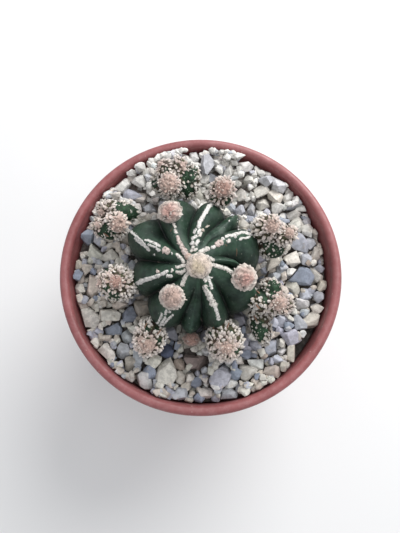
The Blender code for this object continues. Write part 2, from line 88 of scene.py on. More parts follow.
def makeCamera():
    lens = bpy.data.cameras.new("camera")
    lens.lens = viewpoint["lens"]
    lens.sensor_width = viewpoint["sensor"]
    lens.sensor_fit = "AUTO"
    lens.clip_start = 0.01
    holder = bpy.data.objects.new("camera", lens)
    holder.location = Vector(eye) * mm
    holder.rotation_euler = Vector(ahead).to_track_quat("-Z", "Y").to_euler()
    bpy.context.scene.collection.objects.link(holder)
    bpy.context.scene.camera = holder


makeCamera()
print("camera placed")


def plug(tree, socket, value):
    if isinstance(value, bpy.types.NodeSocket):
        tree.links.new(value, socket)
    else:
        socket.default_value = value


def put(tree, kind, inputs=None, **settings):
    made = tree.nodes.new("ShaderNode" + kind)
    for key, value in settings.items():
        setattr(made, key, value)
    for key, value in (inputs or {}).items():
        plug(tree, made.inputs[key], value)
    return made


def compute(tree, operation, *values):
    made = put(tree, "Math", operation=operation)
    for index, value in enumerate(values):
        plug(tree, made.inputs[index], value)
    return made.outputs[0]


def spread(tree, value, low, high, newLow=0.0, newHigh=1.0):
    made = put(tree, "MapRange", {"Value": value, "From Min": low, "From Max": high, "To Min": newLow,
                                  "To Max": newHigh}, interpolation_type="SMOOTHSTEP")
    return made.outputs["Result"]


def blendColours(tree, factor, first, second, mode="MIX"):
    made = put(tree, "Mix", data_type="RGBA", blend_type=mode)
    plug(tree, made.inputs[0], factor)
    plug(tree, made.inputs[6], first)
    plug(tree, made.inputs[7], second)
    return made.outputs[2]


def newGroup(name, inputs, outputs):
    group = bpy.data.node_groups.new(name, "ShaderNodeTree")
    for title, value in inputs.items():
        socket = group.interface.new_socket(title, in_out="INPUT", socket_type="NodeSocketFloat")
        socket.default_value = value
    for title in outputs:
        group.interface.new_socket(title, in_out="OUTPUT", socket_type="NodeSocketFloat")
    source = group.nodes.new("NodeGroupInput")
    target = group.nodes.new("NodeGroupOutput")
    place = put(group, "TexCoord").outputs["Object"]
    inMm = put(group, "VectorMath", {0: place, "Scale": 1000.0}, operation="SCALE").outputs["Vector"]
    return group, source.outputs, target.inputs, inMm


def noiseOf(group, place, size, **settings):
    # A noise whose size is in millimetres
    scale = compute(group, "DIVIDE", 1.0, size)
    return put(group, "TexNoise", {"Vector": place, "Scale": scale, **settings}).outputs[0]


def mottleGroup():
    # Soft patches: Size is in millimetres, Low and High set how hard their edges are
    inputs = {"Size": 3.0, "Detail": 3.0, "Low": 0.4, "High": 0.6, "Seed": 0.0}
    group, given, out, place = newGroup("mottle", inputs, ["Mask", "Height"])
    moved = put(group, "VectorMath", {0: place, 1: given["Seed"]}, operation="ADD").outputs["Vector"]
    clouds = noiseOf(group, moved, given["Size"], Detail=given["Detail"], Roughness=0.6)
    plug(group, out["Mask"], spread(group, clouds, given["Low"], given["High"]))
    plug(group, out["Height"], clouds)
    return group


def speckGroup():
    # Scattered dots: Size is their spacing in millimetres, Spot their radius in spacings, Share how many show
    group, given, out, place = newGroup("specks", {"Size": 1.0, "Spot": 0.2, "Share": 0.5}, ["Mask"])
    cells = put(group, "TexVoronoi", {"Vector": place, "Scale": compute(group, "DIVIDE", 1.0, given["Size"])})
    lots = put(group, "SeparateColor", {"Color": cells.outputs["Color"]}).outputs
    spot = compute(group, "MULTIPLY", given["Spot"], compute(group, "ADD", 0.4, lots[0]))
    near = compute(group, "LESS_THAN", cells.outputs["Distance"], spot)
    chosen = compute(group, "LESS_THAN", lots[1], given["Share"])
    plug(group, out["Mask"], compute(group, "MULTIPLY", near, chosen))
    return group


def grainGroup():
    # Fine relief from two noises: Coarse and Fine are in millimetres
    group, given, out, place = newGroup("grain", {"Coarse": 0.8, "Fine": 0.15, "Blend": 0.5}, ["Height"])
    coarse = noiseOf(group, place, given["Coarse"], Detail=4.0)
    fine = noiseOf(group, place, given["Fine"], Detail=2.0)
    low = compute(group, "MULTIPLY", coarse, compute(group, "SUBTRACT", 1.0, given["Blend"]))
    plug(group, out["Height"], compute(group, "ADD", low, compute(group, "MULTIPLY", fine, given["Blend"])))
    return group


def dustGroup():
    # Dust that settles on what faces up, broken into patches
    group, given, out, place = newGroup("settledDust", {"Size": 4.0, "Amount": 0.5}, ["Mask"])
    facing = put(group, "SeparateXYZ", {"Vector": put(group, "NewGeometry").outputs["Normal"]}).outputs["Z"]
    patches = noiseOf(group, place, given["Size"], Detail=6.0, Roughness=0.7)
    held = compute(group, "MULTIPLY", spread(group, facing, 0.1, 0.9), spread(group, patches, 0.42, 0.68))
    plug(group, out["Mask"], compute(group, "MULTIPLY", held, given["Amount"]))
    return group


effects = dict(mottle=mottleGroup(), specks=speckGroup(), grain=grainGroup(), dust=dustGroup())


def effect(tree, name, **inputs):
    made = tree.nodes.new("ShaderNodeGroup")
    made.node_tree = effects[name]
    for key, value in inputs.items():
        plug(tree, made.inputs[key], value)
    return made.outputs


def between(tree, mask, low, high):
    # Runs from low to high with the mask
    return spread(tree, mask, 0.0, 1.0, low, high)


def spreadGrey(tree, mask, low, high):
    level = between(tree, mask, low, high)
    return put(tree, "CombineColor", {0: level, 1: level, 2: level}).outputs[0]


def maskOf(tree, name, **inputs):
    return effect(tree, name, **inputs)["Mask"]


def tint(tree, colour, mask, strength, shade):
    # Lays a shade over the colour where the mask shows
    return blendColours(tree, compute(tree, "MULTIPLY", mask, strength), colour, shade)


def multiply(tree, first, second):
    return blendColours(tree, 1.0, first, second, "MULTIPLY")


def newMaterial(name, constants):
    # Starts a material: constants are the sockets that are the same all over it
    made = bpy.data.materials.new(name)
    made.use_nodes = True
    shader = made.node_tree.nodes["Principled BSDF"]
    for key, value in constants.items():
        shader.inputs[key].default_value = value
    return made, made.node_tree, shader.inputs


def finishSurface(tree, sockets, colour, roughness, grain, strength, depth):
    # Plugs in the colour, the roughness and a fine relief: its coarse and fine size, share and depth
    plug(tree, sockets["Base Color"], colour)
    plug(tree, sockets["Roughness"], roughness)
    height = effect(tree, "grain", **dict(zip(("Coarse", "Fine", "Blend"), grain)))["Height"]
    relief = put(tree, "Bump", {"Height": height, "Strength": strength, "Distance": depth * mm})
    plug(tree, sockets["Normal"], relief.outputs[0])


def toneOf(tree):
    return put(tree, "Attribute", attribute_name="tone").outputs["Color"]


plasticLook = dict(deep=(0.225, 0.065, 0.065, 1), worn=(0.29, 0.092, 0.092, 1), haze=(0.35, 0.17, 0.17, 1),
                   lime=(0.50, 0.36, 0.33, 1))


def makePlastic():
    look = plasticLook
    made, tree, sockets = newMaterial("terracottaPlastic", {"IOR": 1.5})
    patches = maskOf(tree, "mottle", Size=9.0, Detail=5.0, Low=0.35, High=0.68)
    colour = blendColours(tree, patches, look["deep"], look["worn"])
    scuffs = maskOf(tree, "mottle", Size=1.1, Detail=6.0, Low=0.5, High=0.75, Seed=7.0)
    colour = tint(tree, colour, scuffs, 0.35, look["haze"])
    colour = blendColours(tree, maskOf(tree, "dust", Size=2.2, Amount=0.35), colour, look["haze"])
    colour = tint(tree, colour, maskOf(tree, "specks", Size=1.9, Spot=0.09, Share=0.3), 0.5, look["lime"])
    rubbed = effect(tree, "mottle", Size=2.5, Detail=6.0, Seed=3.0)["Height"]
    roughness = spread(tree, rubbed, 0.3, 0.7, 0.34, 0.6)
    finishSurface(tree, sockets, colour, roughness, (2.4, 0.25, 0.35), 0.5, 0.12)
    return made


stoneLook = dict(grain=(0.16, 0.14, 0.12, 1), rust=(0.42, 0.32, 0.22, 1))


def makeStoneFace():
    made, tree, sockets = newMaterial("stoneChips", {"IOR": 1.5})
    patches = maskOf(tree, "mottle", Size=1.3, Detail=5.0, Low=0.35, High=0.65)
    colour = multiply(tree, toneOf(tree), spreadGrey(tree, patches, 0.8, 1.12))
    specks = maskOf(tree, "specks", Size=0.45, Spot=0.22, Share=0.25)
    colour = tint(tree, colour, specks, 0.5, stoneLook["grain"])
    stain = maskOf(tree, "mottle", Size=2.2, Detail=6.0, Low=0.58, High=0.74, Seed=5.0)
    colour = tint(tree, colour, stain, 0.45, stoneLook["rust"])
    finishSurface(tree, sockets, colour, between(tree, patches, 0.7, 0.95), (0.5, 0.09, 0.4), 0.8, 0.16)
    return made


skinLook = dict(deep=(0.009, 0.022, 0.015, 1), fresh=(0.024, 0.054, 0.032, 1), bloom=(0.062, 0.098, 0.077, 1),
                fleck=(0.40, 0.44, 0.36, 1), cork=(0.12, 0.065, 0.035, 1))


def makeSkin():
    look = skinLook
    made, tree, sockets = newMaterial("cactusSkin", {"IOR": 1.45, "Specular IOR Level": 0.32})
    patches = maskOf(tree, "mottle", Size=4.0, Detail=4.0, Low=0.3, High=0.7)
    colour = blendColours(tree, patches, look["deep"], look["fresh"])
    waxy = maskOf(tree, "mottle", Size=1.4, Detail=6.0, Low=0.42, High=0.72, Seed=9.0)
    colour = tint(tree, colour, waxy, 0.42, look["bloom"])
    colour = tint(tree, colour, maskOf(tree, "specks", Size=0.75, Spot=0.13, Share=0.4), 0.6, look["fleck"])
    brown = maskOf(tree, "mottle", Size=2.6, Detail=6.0, Low=0.68, High=0.78, Seed=4.0)
    # The tone brings in the stem's painted valley shade and its paler crests
    colour = multiply(tree, tint(tree, colour, brown, 0.7, look["cork"]), toneOf(tree))
    finishSurface(tree, sockets, colour, between(tree, waxy, 0.40, 0.62), (0.9, 0.14, 0.4), 0.6, 0.12)
    return made


def makeTonedMaterial(name, coarse, fine, depth, low, high, constants):
    # Takes its colour from the piece's own tones, clouded and roughened by noise
    made, tree, sockets = newMaterial(name, constants)
    clouds = maskOf(tree, "mottle", Size=coarse, Detail=5.0, Low=0.3, High=0.7)
    colour = multiply(tree, toneOf(tree), spreadGrey(tree, clouds, low, high))
    roughness = between(tree, clouds, 0.85, 1.0)
    finishSurface(tree, sockets, colour, roughness, (coarse / 2, fine, 0.6), 0.9, depth)
    return made


def makeHeadSkin():
    # The offsets' skin: its own tones, flecked all over with fine pale dots
    made, tree, sockets = newMaterial("offsetSkin", {"IOR": 1.45, "Specular IOR Level": 0.3})
    clouds = maskOf(tree, "mottle", Size=0.9, Detail=5.0, Low=0.3, High=0.7, Seed=2.0)
    colour = multiply(tree, toneOf(tree), spreadGrey(tree, clouds, 0.55, 1.35))
    dots = maskOf(tree, "specks", Size=0.5, Spot=0.2, Share=0.45)
    colour = tint(tree, colour, dots, 0.8, skinLook["fleck"])
    finishSurface(tree, sockets, colour, between(tree, clouds, 0.5, 0.75), (0.6, 0.12, 0.5), 0.8, 0.2)
    return made


finishes = dict(
    plastic=makePlastic(), stone=makeStoneFace(), skin=makeSkin(),
    felt=makeTonedMaterial("feltedWool", 0.6, 0.06, 0.12, 0.86, 1.06,
                           {"Sheen Weight": 0.25, "Specular IOR Level": 0.2}),
    headSkin=makeHeadSkin(),
    grit=makeTonedMaterial("grittySoil", 1.2, 0.2, 0.4, 0.5, 1.3, {"Specular IOR Level": 0.3}),
)
print("materials made")


triangleCounts = {}


def makePiece(name, parts, finishName, slotName, *nodes, smooth=True):
    # Joins (points, faces, tones) parts into one piece that rides on the pot
    offset = 0
    points, faces, tones = [], [], []
    for spots, corners, colours in parts:
        points.append(spots)
        faces.append(np.asarray(corners) + offset)
        tones.append(np.broadcast_to(colours, (len(spots), 3)))
        offset += len(spots)
    points = np.concatenate(points) * mm
    faces = np.concatenate(faces).astype(np.int32)
    tones = np.concatenate(tones)
    mesh = bpy.data.meshes.new(name)
    mesh.vertices.add(len(points))
    mesh.vertices.foreach_set("co", points.ravel())
    mesh.loops.add(faces.size)
    mesh.loops.foreach_set("vertex_index", faces.ravel())
    mesh.polygons.add(len(faces))
    mesh.polygons.foreach_set("loop_start", np.arange(0, faces.size, 3, dtype=np.int32))
    mesh.update(calc_edges=True)
    mesh.validate()
    colour = mesh.attributes.new("tone", "FLOAT_COLOR", "POINT")
    colour.data.foreach_set("color", np.column_stack((tones, np.ones(len(tones)))).ravel())
    mesh.polygons.foreach_set("use_smooth", np.full(len(mesh.polygons), smooth))
    mesh.materials.append(finishes[finishName])
    piece = bpy.data.objects.new(name, mesh)
    bpy.context.scene.collection.objects.link(piece)
    if nodes:
        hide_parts(*nodes)
    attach(piece, "root")
    triangleCounts[name] = len(faces)
    print(name, len(faces), "triangles")
    return piece


def quadsToTriangles(quads):
    quads = np.asarray(quads)
    return np.concatenate((quads[:, [0, 1, 2]], quads[:, [0, 2, 3]]))


def gridQuads(grid):
    # Quads between the rows and columns of a grid of point numbers
    return np.stack((grid[:-1, :-1], grid[:-1, 1:], grid[1:, 1:], grid[1:, :-1]), -1).reshape(-1, 4)


def ringFaces(rows, columns):
    # Quads of a tube whose points are laid out row by row, closed round
    row, column = np.meshgrid(np.arange(rows - 1), np.arange(columns), indexing="ij")
    after = (column + 1) % columns
    return np.stack((row * columns + column, (row + 1) * columns + column, (row + 1) * columns + after,
                     row * columns + after), -1).reshape(-1, 4)


def turnTo(direction):
    # Columns are the local X, Y and Z of a piece whose Z looks along the direction
    return np.array(Vector(direction).to_track_quat("Z", "Y").to_matrix())


def spiralTurn(step):
    # The turn of each step of a spiral that covers a ball evenly
    return step * math.pi * (3 - math.sqrt(5))


def ballPoints(up, around):
    # Points of a unit ball, from their heights and their turns round it
    out = np.sqrt(np.clip(1 - up * up, 0, 1))
    return np.stack((out * np.cos(around), out * np.sin(around), up), -1)


netCache = {}


def sphereNet(count):
    # Points spread evenly over a unit ball, in a spiral, with the triangles that join them
    if count not in netCache:
        step = np.arange(count)
        bm = bmesh.new()
        for spot in ballPoints(1 - 2 * (step + 0.5) / count, spiralTurn(step)):
            bm.verts.new(spot)
        bmesh.ops.convex_hull(bm, input=bm.verts[:])
        bm.verts.index_update()
        faces = []
        for face in bm.faces:
            corners = [vert.index for vert in face.verts]
            if face.normal.dot(face.calc_center_median()) < 0:
                corners.reverse()
            faces += [(corners[0], corners[i], corners[i + 1]) for i in range(1, len(corners) - 1)]
        order = np.array([vert.co[:] for vert in bm.verts])
        bm.free()
        netCache[count] = (order, np.array(faces))
    return netCache[count]


def alongSurface(vectors, normals):
    # The part of each vector that runs along the surface, at unit length
    return unit(vectors - normals * np.sum(vectors * normals, -1, keepdims=True))


def lumps(points, size, seed):
    # Smooth noise between about -1 and 1 at each point; size is in millimetres
    shift = Vector((seed * 17.3, seed * 5.1, -seed * 9.7))
    return np.array([noise.noise(Vector(point) / size + shift) for point in points])


def growFlakes(rng, roots, axes, flats, sizes, rootTones, tipTones, sides=5,
               rings=((0, 0.6), (0.36, 1.0), (0.74, 0.64))):
    # Soft pointed flakes: axes is where each grows, flats the way that its broad face looks
    lengths, widths, thicks, curls = sizes
    count = len(roots)
    axes = unit(axes)
    flats = alongSurface(flats, axes)
    across = np.cross(axes, flats)
    turn = np.arange(sides) * math.tau / sides
    rows, tones = [], []
    for along, full in rings:
        spine = roots + axes * (lengths * along)[:, None] + flats * (lengths * curls * along ** 2)[:, None]
        rough = 1 + rng.uniform(-0.16, 0.16, (count, sides))
        half = (widths * full / 2)[:, None] * rough
        thick = (thicks * (0.5 + full / 2) / 2)[:, None] * rough
        ring = (spine[:, None] + across[:, None] * (half * np.cos(turn))[..., None]
                + flats[:, None] * (thick * np.sin(turn))[..., None])
        rows.append(ring)
        tones.append(np.repeat((rootTones + (tipTones - rootTones) * min(1, along * 1.5))[:, None], sides, 1))
    tip = roots + axes * lengths[:, None] + flats * (lengths * curls)[:, None]
    body = np.concatenate(rows + [roots[:, None], tip[:, None]], 1)
    colours = np.concatenate(tones + [rootTones[:, None], tipTones[:, None]], 1)
    shape = list(quadsToTriangles(ringFaces(len(rings), sides)[:, ::-1]))
    base, top, last = len(rings) * sides, len(rings) * sides + 1, (len(rings) - 1) * sides
    for index in range(sides):
        after = (index + 1) % sides
        shape += [(base, after, index), (top, last + index, last + after)]
    faces = (np.arange(count)[:, None, None] * body.shape[1] + np.array(shape)[None]).reshape(-1, 3)
    return body.reshape(-1, 3), faces, colours.reshape(-1, 3)


def drawSizes(rng, flake, count):
    # Length, width, thickness and curl of each flake, drawn from their ranges
    return [rng.uniform(*flake[key], count) for key in ("length", "width", "thick", "curl")]


def growFibres(rng, roots, axes, lengths, width, tones):
    # Fine hairs
    count = len(roots)
    sway = unit(rng.normal(size=(count, 3)))
    even = np.full(count, width)
    sizes = (lengths, even, even, rng.uniform(-0.35, 0.35, count))
    return growFlakes(rng, roots, axes, sway, sizes, tones, tones, sides=3, rings=((0, 1.0), (0.55, 0.7)))


def headNormal(ball, stretch):
    return unit(ball * (1, 1, 1 / stretch))


palestWool = 0.86
petalRings = ((0, 0.6), (0.3, 1.0), (0.62, 0.9), (0.88, 0.45))  # how far along, and how wide there


# The felt of the cap, the buds and the growth centres: noises as size and height, ramps as start and end
# dark, pale and pitShade set painted shade in the creases and the pits
feltLook = dict(bend=0.9, swirl=0.7, foldHeight=0.35, coarse=(0.55, 1.4), fine=(0.26, 0.9),
                grain=(0.42, 0.03), heart=(0.18, 0.85), edge=(0.74, 1.0), crease=(0.0, 0.1),
                dark=0.44, pale=0.52, pitSpread=2.6, pitDepth=0.5, pitShade=0.88)


def feltCushion(middle, turn, radius, flatness, net, folds, depth, tones, seed, heartPixel, pits=()):
    # A ball of felt with soft folds that run to its heart; the tones are of the heart, the body and the edge
    f = feltLook
    ball, faces = sphereNet(net)
    level = np.hypot(ball[:, 0], ball[:, 1])
    bend = lumps(ball, f["bend"], seed)
    around = np.arctan2(ball[:, 1], ball[:, 0]) + f["swirl"] * bend
    ridge = np.cos(folds * around + 2 * bend) * ramp(level, 0.05, 0.6)
    coarse = np.abs(lumps(ball, f["coarse"][0], seed + 1))
    fine = np.abs(lumps(ball, f["fine"][0], seed + 2))
    grain = lumps(ball * radius, f["grain"][0], seed + 3)
    height = depth * (f["foldHeight"] * ridge + f["coarse"][1] * coarse + f["fine"][1] * fine)
    height = height + f["grain"][1] * grain
    body = ball * (1 + height)[:, None] * radius * np.array((1, 1, flatness))
    places = middle + body @ turn.T
    heart, flesh, edge = (np.array(woolTones[name]) for name in tones)
    seen = pixelOf(places)
    wide = radius * focal / ((np.asarray(middle) - eye) @ ahead)
    away = np.hypot(*(seen - heartPixel).T) / wide
    rim = np.hypot(*(seen - pixelOf(middle)).T) / wide
    cloud = 0.25 * lumps(ball, 0.5, seed + 4) + 0.16 * grain
    colours = heart + (flesh - heart) * ramp(away + cloud, *f["heart"])[:, None]
    colours = colours + (edge - colours) * ramp(rim + 0.5 * cloud, *f["edge"])[:, None]
    # Painted shade darkens the creases, and the folds are painted a little paler on their ridges than in
    # their troughs
    crease = ramp(coarse, *f["crease"]) * (0.5 + 0.5 * ramp(fine, *f["crease"]))
    colours = colours * (f["dark"] + f["pale"] * crease + 0.2 * grain + 0.08 * ridge * (level > 0.4))[:, None]
    # Each pit is pressed in and painted dark with shade
    for pit in pits:
        near = np.exp(-np.sum((seen - pit) ** 2, 1) / f["pitSpread"]) * (ball[:, 2] > -0.1)
        places = places - (unit(places - middle)) * (f["pitDepth"] * near)[:, None]
        colours = colours * (1 - f["pitShade"] * near)[:, None]
    return places, faces, np.clip(colours, 0.01, palestWool)


def fuzz(rng, middle, turn, radius, flatness, count, lengths, tone):
    # Fine hairs all over a cushion, which pale its outline
    ways = unit(rng.normal(size=(count, 3)))
    ways[:, 2] = np.where(ways[:, 2] < -0.4, -ways[:, 2], ways[:, 2])
    starts = ways * radius * np.array((1, 1, flatness))
    return growFibres(rng, middle + starts @ turn.T, (ways + rng.normal(0, 0.7, (count, 3))) @ turn.T,
                      rng.uniform(*lengths, count), 0.035, np.broadcast_to(tone, (count, 3)))


potShape = dict(height=68, rim=42.5, lip=3, lipDrop=3.2, collarHeight=12.6, collarWall=1.7, draft=0.3,
                step=1.3, stepHeight=1, wall=1.4, foot=29, footWidth=3, edge=0.5, recess=1.2, base=1.4,
                drains=6, drainRadius=2.7, drainCircle=17, drainSides=32, sides=240, lipSteps=14,
                roundSteps=3, innerRound=0.6, outerRound=0.45, sharp=50)


def objectFrom(bm, name):
    # Puts the mesh in the scene as an object
    mesh = bpy.data.meshes.new(name)
    bm.to_mesh(mesh)
    bm.free()
    made = bpy.data.objects.new(name, mesh)
    bpy.context.scene.collection.objects.link(made)
    return made


def roundCorners(profile, reach, steps):
    # Swaps each corner of a profile for a short curve
    made = [profile[0]]
    for before, corner, after in zip(profile, profile[1:], profile[2:]):
        before, corner, after = (np.array(point, float) for point in (before, corner, after))
        start = corner + unit(before - corner) * min(reach, np.linalg.norm(before - corner) * 0.4)
        end = corner + unit(after - corner) * min(reach, np.linalg.norm(after - corner) * 0.4)
        for step in range(steps + 1):
            t = step / steps
            made.append(tuple((1 - t) ** 2 * start + 2 * t * (1 - t) * corner + t * t * end))
    return made + [profile[-1]]


def makePot():
    p = potShape
    floor = p["recess"] + p["base"]
    inside = p["rim"] - p["lip"]
    bottom = p["height"] - p["collarHeight"]
    stepTop = bottom + 2 * p["stepHeight"]
    collar = inside + p["collarWall"]
    throat = inside - p["draft"]
    bodyTop = throat - p["step"] + p["wall"]
    half = p["lip"] / 2
    under = p["height"] - p["lipDrop"]
    inner = [(0, floor), (p["foot"] - p["wall"], floor), (throat - p["step"], stepTop - p["stepHeight"]),
             (throat, stepTop), (inside, p["height"] - half)]
    turns = [math.pi * step / p["lipSteps"] for step in range(1, p["lipSteps"])]
    lip = [(p["rim"] - half - half * math.cos(turn), p["height"] - half + half * math.sin(turn))
           for turn in turns]
    outer = [(p["rim"], p["height"] - half), (p["rim"], under + 0.2), (p["rim"] - p["edge"], under - 0.1),
             (collar, under - p["edge"]), (collar - p["draft"], bottom + 0.2),
             (collar - p["draft"] - p["edge"], bottom), (bodyTop, bottom - p["edge"]),
             (p["foot"] + 0.1, 0.2), (p["foot"] - 0.3, 0), (p["foot"] - p["footWidth"], 0),
             (p["foot"] - p["footWidth"] - p["edge"], p["recess"]), (0, p["recess"])]
    profile = roundCorners(inner, p["innerRound"], p["roundSteps"]) + lip
    profile += roundCorners(outer, p["outerRound"], p["roundSteps"])
    profile = [profile[0]] + [point for before, point in zip(profile, profile[1:])
                              if math.dist(point, before) > 1e-3]
    bm = bmesh.new()
    verts = [bm.verts.new((radius * mm, 0, height * mm)) for radius, height in profile]
    edges = [bm.edges.new(pair) for pair in zip(verts, verts[1:])]
    bmesh.ops.spin(bm, geom=verts + edges, cent=(0, 0, 0), axis=(0, 0, 1), angle=math.tau, steps=p["sides"],
                   use_merge=True, use_duplicate=False)
    bmesh.ops.remove_doubles(bm, verts=bm.verts[:], dist=1e-7)
    bmesh.ops.recalc_face_normals(bm, faces=bm.faces[:])
    pot = objectFrom(bm, "flowerpot")
    holes = bmesh.new()
    for index in range(p["drains"]):
        turn = math.tau * index / p["drains"]
        spot = Vector((p["drainCircle"] * math.cos(turn), p["drainCircle"] * math.sin(turn), floor / 2)) * mm
        wide = p["drainRadius"] * mm
        bmesh.ops.create_cone(holes, cap_ends=True, segments=p["drainSides"], radius1=wide, radius2=wide,
                              depth=2 * floor * mm, matrix=Matrix.Translation(spot))
    cutter = objectFrom(holes, "drains")
    cut = pot.modifiers.new("drains", "BOOLEAN")
    cut.operation = "DIFFERENCE"
    cut.object = cutter
    cut.solver = "EXACT"
    pot.data = bpy.data.meshes.new_from_object(pot.evaluated_get(bpy.context.evaluated_depsgraph_get()))
    pot.modifiers.clear()
    bpy.data.objects.remove(cutter, do_unlink=True)
    pot.data.shade_smooth()
    pot.data.set_sharp_from_angle(angle=math.radians(p["sharp"]))
    pot.data.materials.clear()
    pot.data.materials.append(finishes["plastic"])
    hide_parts("pot")
    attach(pot, "root")
    print("pot turned,", len(pot.data.polygons), "faces")


makePot()


# The last keys set the stem's tone: paler crests, and painted shade in the valleys
stemShape = dict(axisX=-0.6, axisY=0.6, axisFoot=60, lean=0.133, crownTop=87.2, widest=70, domePower=2.2,
                 neckHeight=58, neckRadius=8.5, rootRadius=4.5, rootHeight=45, rootTip=38, valleyDepth=5.2,
                 valleyOpens=(3, 45), valleyCloses=(50, 160), faceSlope=0.5, crestRound=0.06, flankSteps=16,
                 levelStep=1.4, unevenness=0.16, crestPale=0.45, valleyPaintedShade=0.88)
# Each rib: bearing at the widest level, turn at the crown, reach, the valley after it and its turn, and
# for a short rib the levels between which it rises (with its full height) or fades
ribs = dict(
    east=(-26, 30, 19.2, -15, 30), eastSmall=(-10, 36, 18.6, -4, 44, "fades", 28, 55),
    northeast=(31, 31, 19.6, 47.5, 33), northLow=(55, 31, 21, 63, 29, "rises", 45, 80, 0.8),
    north=(78.5, 27, 20.8, 92, 31), northwest=(111.5, 29.5, 23, 129, 24), westUpper=(153, 4.5, 23.6, 171, 5),
    west=(194.5, -4, 19.4, 209, 8), southwest=(235, -7, 20.4, 252, 14),
    southLow=(263, 8, 18.9, 274, 4, "rises", 50, 85, 1.0), south=(289, 3, 18.6, 304.5, 15),
)


def axisAt(height):
    s = stemShape
    height = np.asarray(height, float)
    return np.stack((s["axisX"] + 0 * height, s["axisY"] - s["lean"] * (height - s["axisFoot"]), height), -1)


def fromAxis(bearing, distance, height):
    angle = np.radians(bearing)
    return axisAt(height) + np.stack((distance * np.cos(angle), distance * np.sin(angle), 0 * angle), -1)


def bearingAt(bearing, turn, level):
    return bearing + turn * np.maximum(1 - level / 90, 0) ** 2


def ribHeight(rib, level):
    if "rises" in rib:
        return rib[8] * ramp(level, rib[6], rib[7])
    if "fades" in rib:
        return 1 - ramp(level, rib[6], rib[7])
    return np.ones_like(level)


def stemColumn(index, side, share, levels):
    # The points down one line of a rib's flank, from the crown to the neck
    s = stemShape
    table = list(ribs.values())
    rib, neighbour = table[index], table[(index + side) % len(table)]
    owner = rib if side > 0 else neighbour
    crest = bearingAt(rib[0], rib[1], levels)
    gap = (bearingAt(owner[3], owner[4], levels) - crest) * side % 360
    reach = rib[2] + (neighbour[2] - rib[2]) * share / 2
    angle = np.radians(np.minimum(levels, 180))
    dome, drop = s["crownTop"] - s["widest"], s["widest"] - s["neckHeight"]
    power = 2 / s["domePower"]
    slope = s["domePower"] - 1
    above = levels <= 90
    sine, cosine = np.maximum(np.sin(angle), 0), np.cos(angle)
    across = np.where(above, sine ** power, sine)
    lift = np.where(above, np.maximum(cosine, 0) ** power, 0)
    waist = reach - s["neckRadius"]
    radius = np.where(above, reach * across, s["neckRadius"] + waist * across)
    height = np.where(above, s["widest"] + dome * lift, s["widest"] + drop * cosine)
    normal = unit(np.stack((np.where(above, across ** slope / reach, across / waist),
                            np.where(above, lift ** slope / dome, cosine / drop)), -1))
    smooth = math.sqrt(share ** 2 + s["crestRound"] ** 2) - s["crestRound"]
    fall = s["faceSlope"] * smooth + (1 - s["faceSlope"]) * share ** 3
    tall = ribHeight(rib, levels)
    valley = s["valleyDepth"] * ramp(levels, *s["valleyOpens"]) * (1 - ramp(levels, *s["valleyCloses"]))
    depth = valley * ((1 - tall) + tall * fall)
    # Painted shade darkens the tone in each valley; along the crest the tone is paler
    shaded = 0.45 * ramp(share, 0.5, 0.95) + 0.55 * ramp(share, 0.86, 1.0)
    tone = 1 + s["crestPale"] * ramp(share, 0.22, 0.0) - s["valleyPaintedShade"] * shaded * ramp(levels, 5, 25)
    bearing = crest + side * gap * share
    places = fromAxis(bearing, radius - depth * normal[:, 0], height - depth * normal[:, 1])
    return np.column_stack((places, tone))


def makeStemSurface():
    s = stemShape
    levels = np.arange(2, 180 + s["levelStep"] / 2, s["levelStep"])
    levels = np.append(levels[levels < 179], 180)
    columns = []
    for index in range(len(ribs)):
        shares = [(step / s["flankSteps"]) for step in range(s["flankSteps"] + 1)]
        columns += [stemColumn(index, -1, share, levels) for share in shares[:-1][::-1]]
        columns += [stemColumn(index, 1, share, levels) for share in shares[1:]]
    grid = np.stack(columns, 1)
    rows, wide = grid.shape[:2]
    flat, tones = grid.reshape(-1, 4)[:, :3], grid.reshape(-1, 4)[:, 3]
    outward = unit(flat - axisAt(s["widest"] - 2))
    flat = flat + outward * (lumps(flat, 3.5, 1) * s["unevenness"] + lumps(flat, 1.1, 2) * 0.05)[:, None]
    neck = flat[-wide:]
    side = unit((neck - axisAt(s["neckHeight"])) * (1, 1, 0))
    root = axisAt(s["rootHeight"]) + side * s["rootRadius"]
    top, tip = axisAt(s["crownTop"]), axisAt(s["rootTip"])
    points = np.concatenate((flat, root, [top], [tip]))
    faces = list(quadsToTriangles(ringFaces(rows + 1, wide)))
    topIndex, tipIndex = len(points) - 2, len(points) - 1
    for index in range(wide):
        after = (index + 1) % wide
        faces.append((topIndex, index, after))
        faces.append((tipIndex, rows * wide + after, rows * wide + index))
    tones = np.concatenate((tones, np.ones(len(points) - len(tones))))
    return points, np.array(faces), tones


stemPoints, stemFaces, stemTones = makeStemSurface()
stemTree = BVHTree.FromPolygons([Vector(point) for point in stemPoints], stemFaces.tolist())
stemParts = [(stemPoints, stemFaces, np.repeat(stemTones[:, None], 3, 1))]
makePiece("cactusStem", stemParts, "skin", "cactus_skin", "stem")


def castOn(tree, x, y):
    # Where the picture's pixel lies on a surface, with its outward direction there
    spot, normal, _, _ = tree.ray_cast(Vector(eye), Vector(pixelRay(x, y)))
    return None if spot is None else (np.array(spot), np.array(normal))


def insideStem(point, margin=0.0):
    near, normal, _, _ = stemTree.find_nearest(Vector(point))
    return (Vector(point) - near).dot(normal) < margin


woolTones = dict(cream=(0.72, 0.665, 0.59), white=(0.80, 0.775, 0.73), pink=(0.56, 0.37, 0.31),
                 tan=(0.50, 0.37, 0.24), brown=(0.20, 0.11, 0.07), straw=(0.62, 0.50, 0.31),
                 rose=(0.46, 0.275, 0.235), blush=(0.68, 0.54, 0.46), fawn=(0.47, 0.34, 0.285),
                 sand=(0.62, 0.515, 0.435), oat=(0.62, 0.545, 0.48), flesh=(0.50, 0.375, 0.325),
                 hay=(0.54, 0.45, 0.33), clay=(0.36, 0.225, 0.185), lilac=(0.55, 0.465, 0.45))
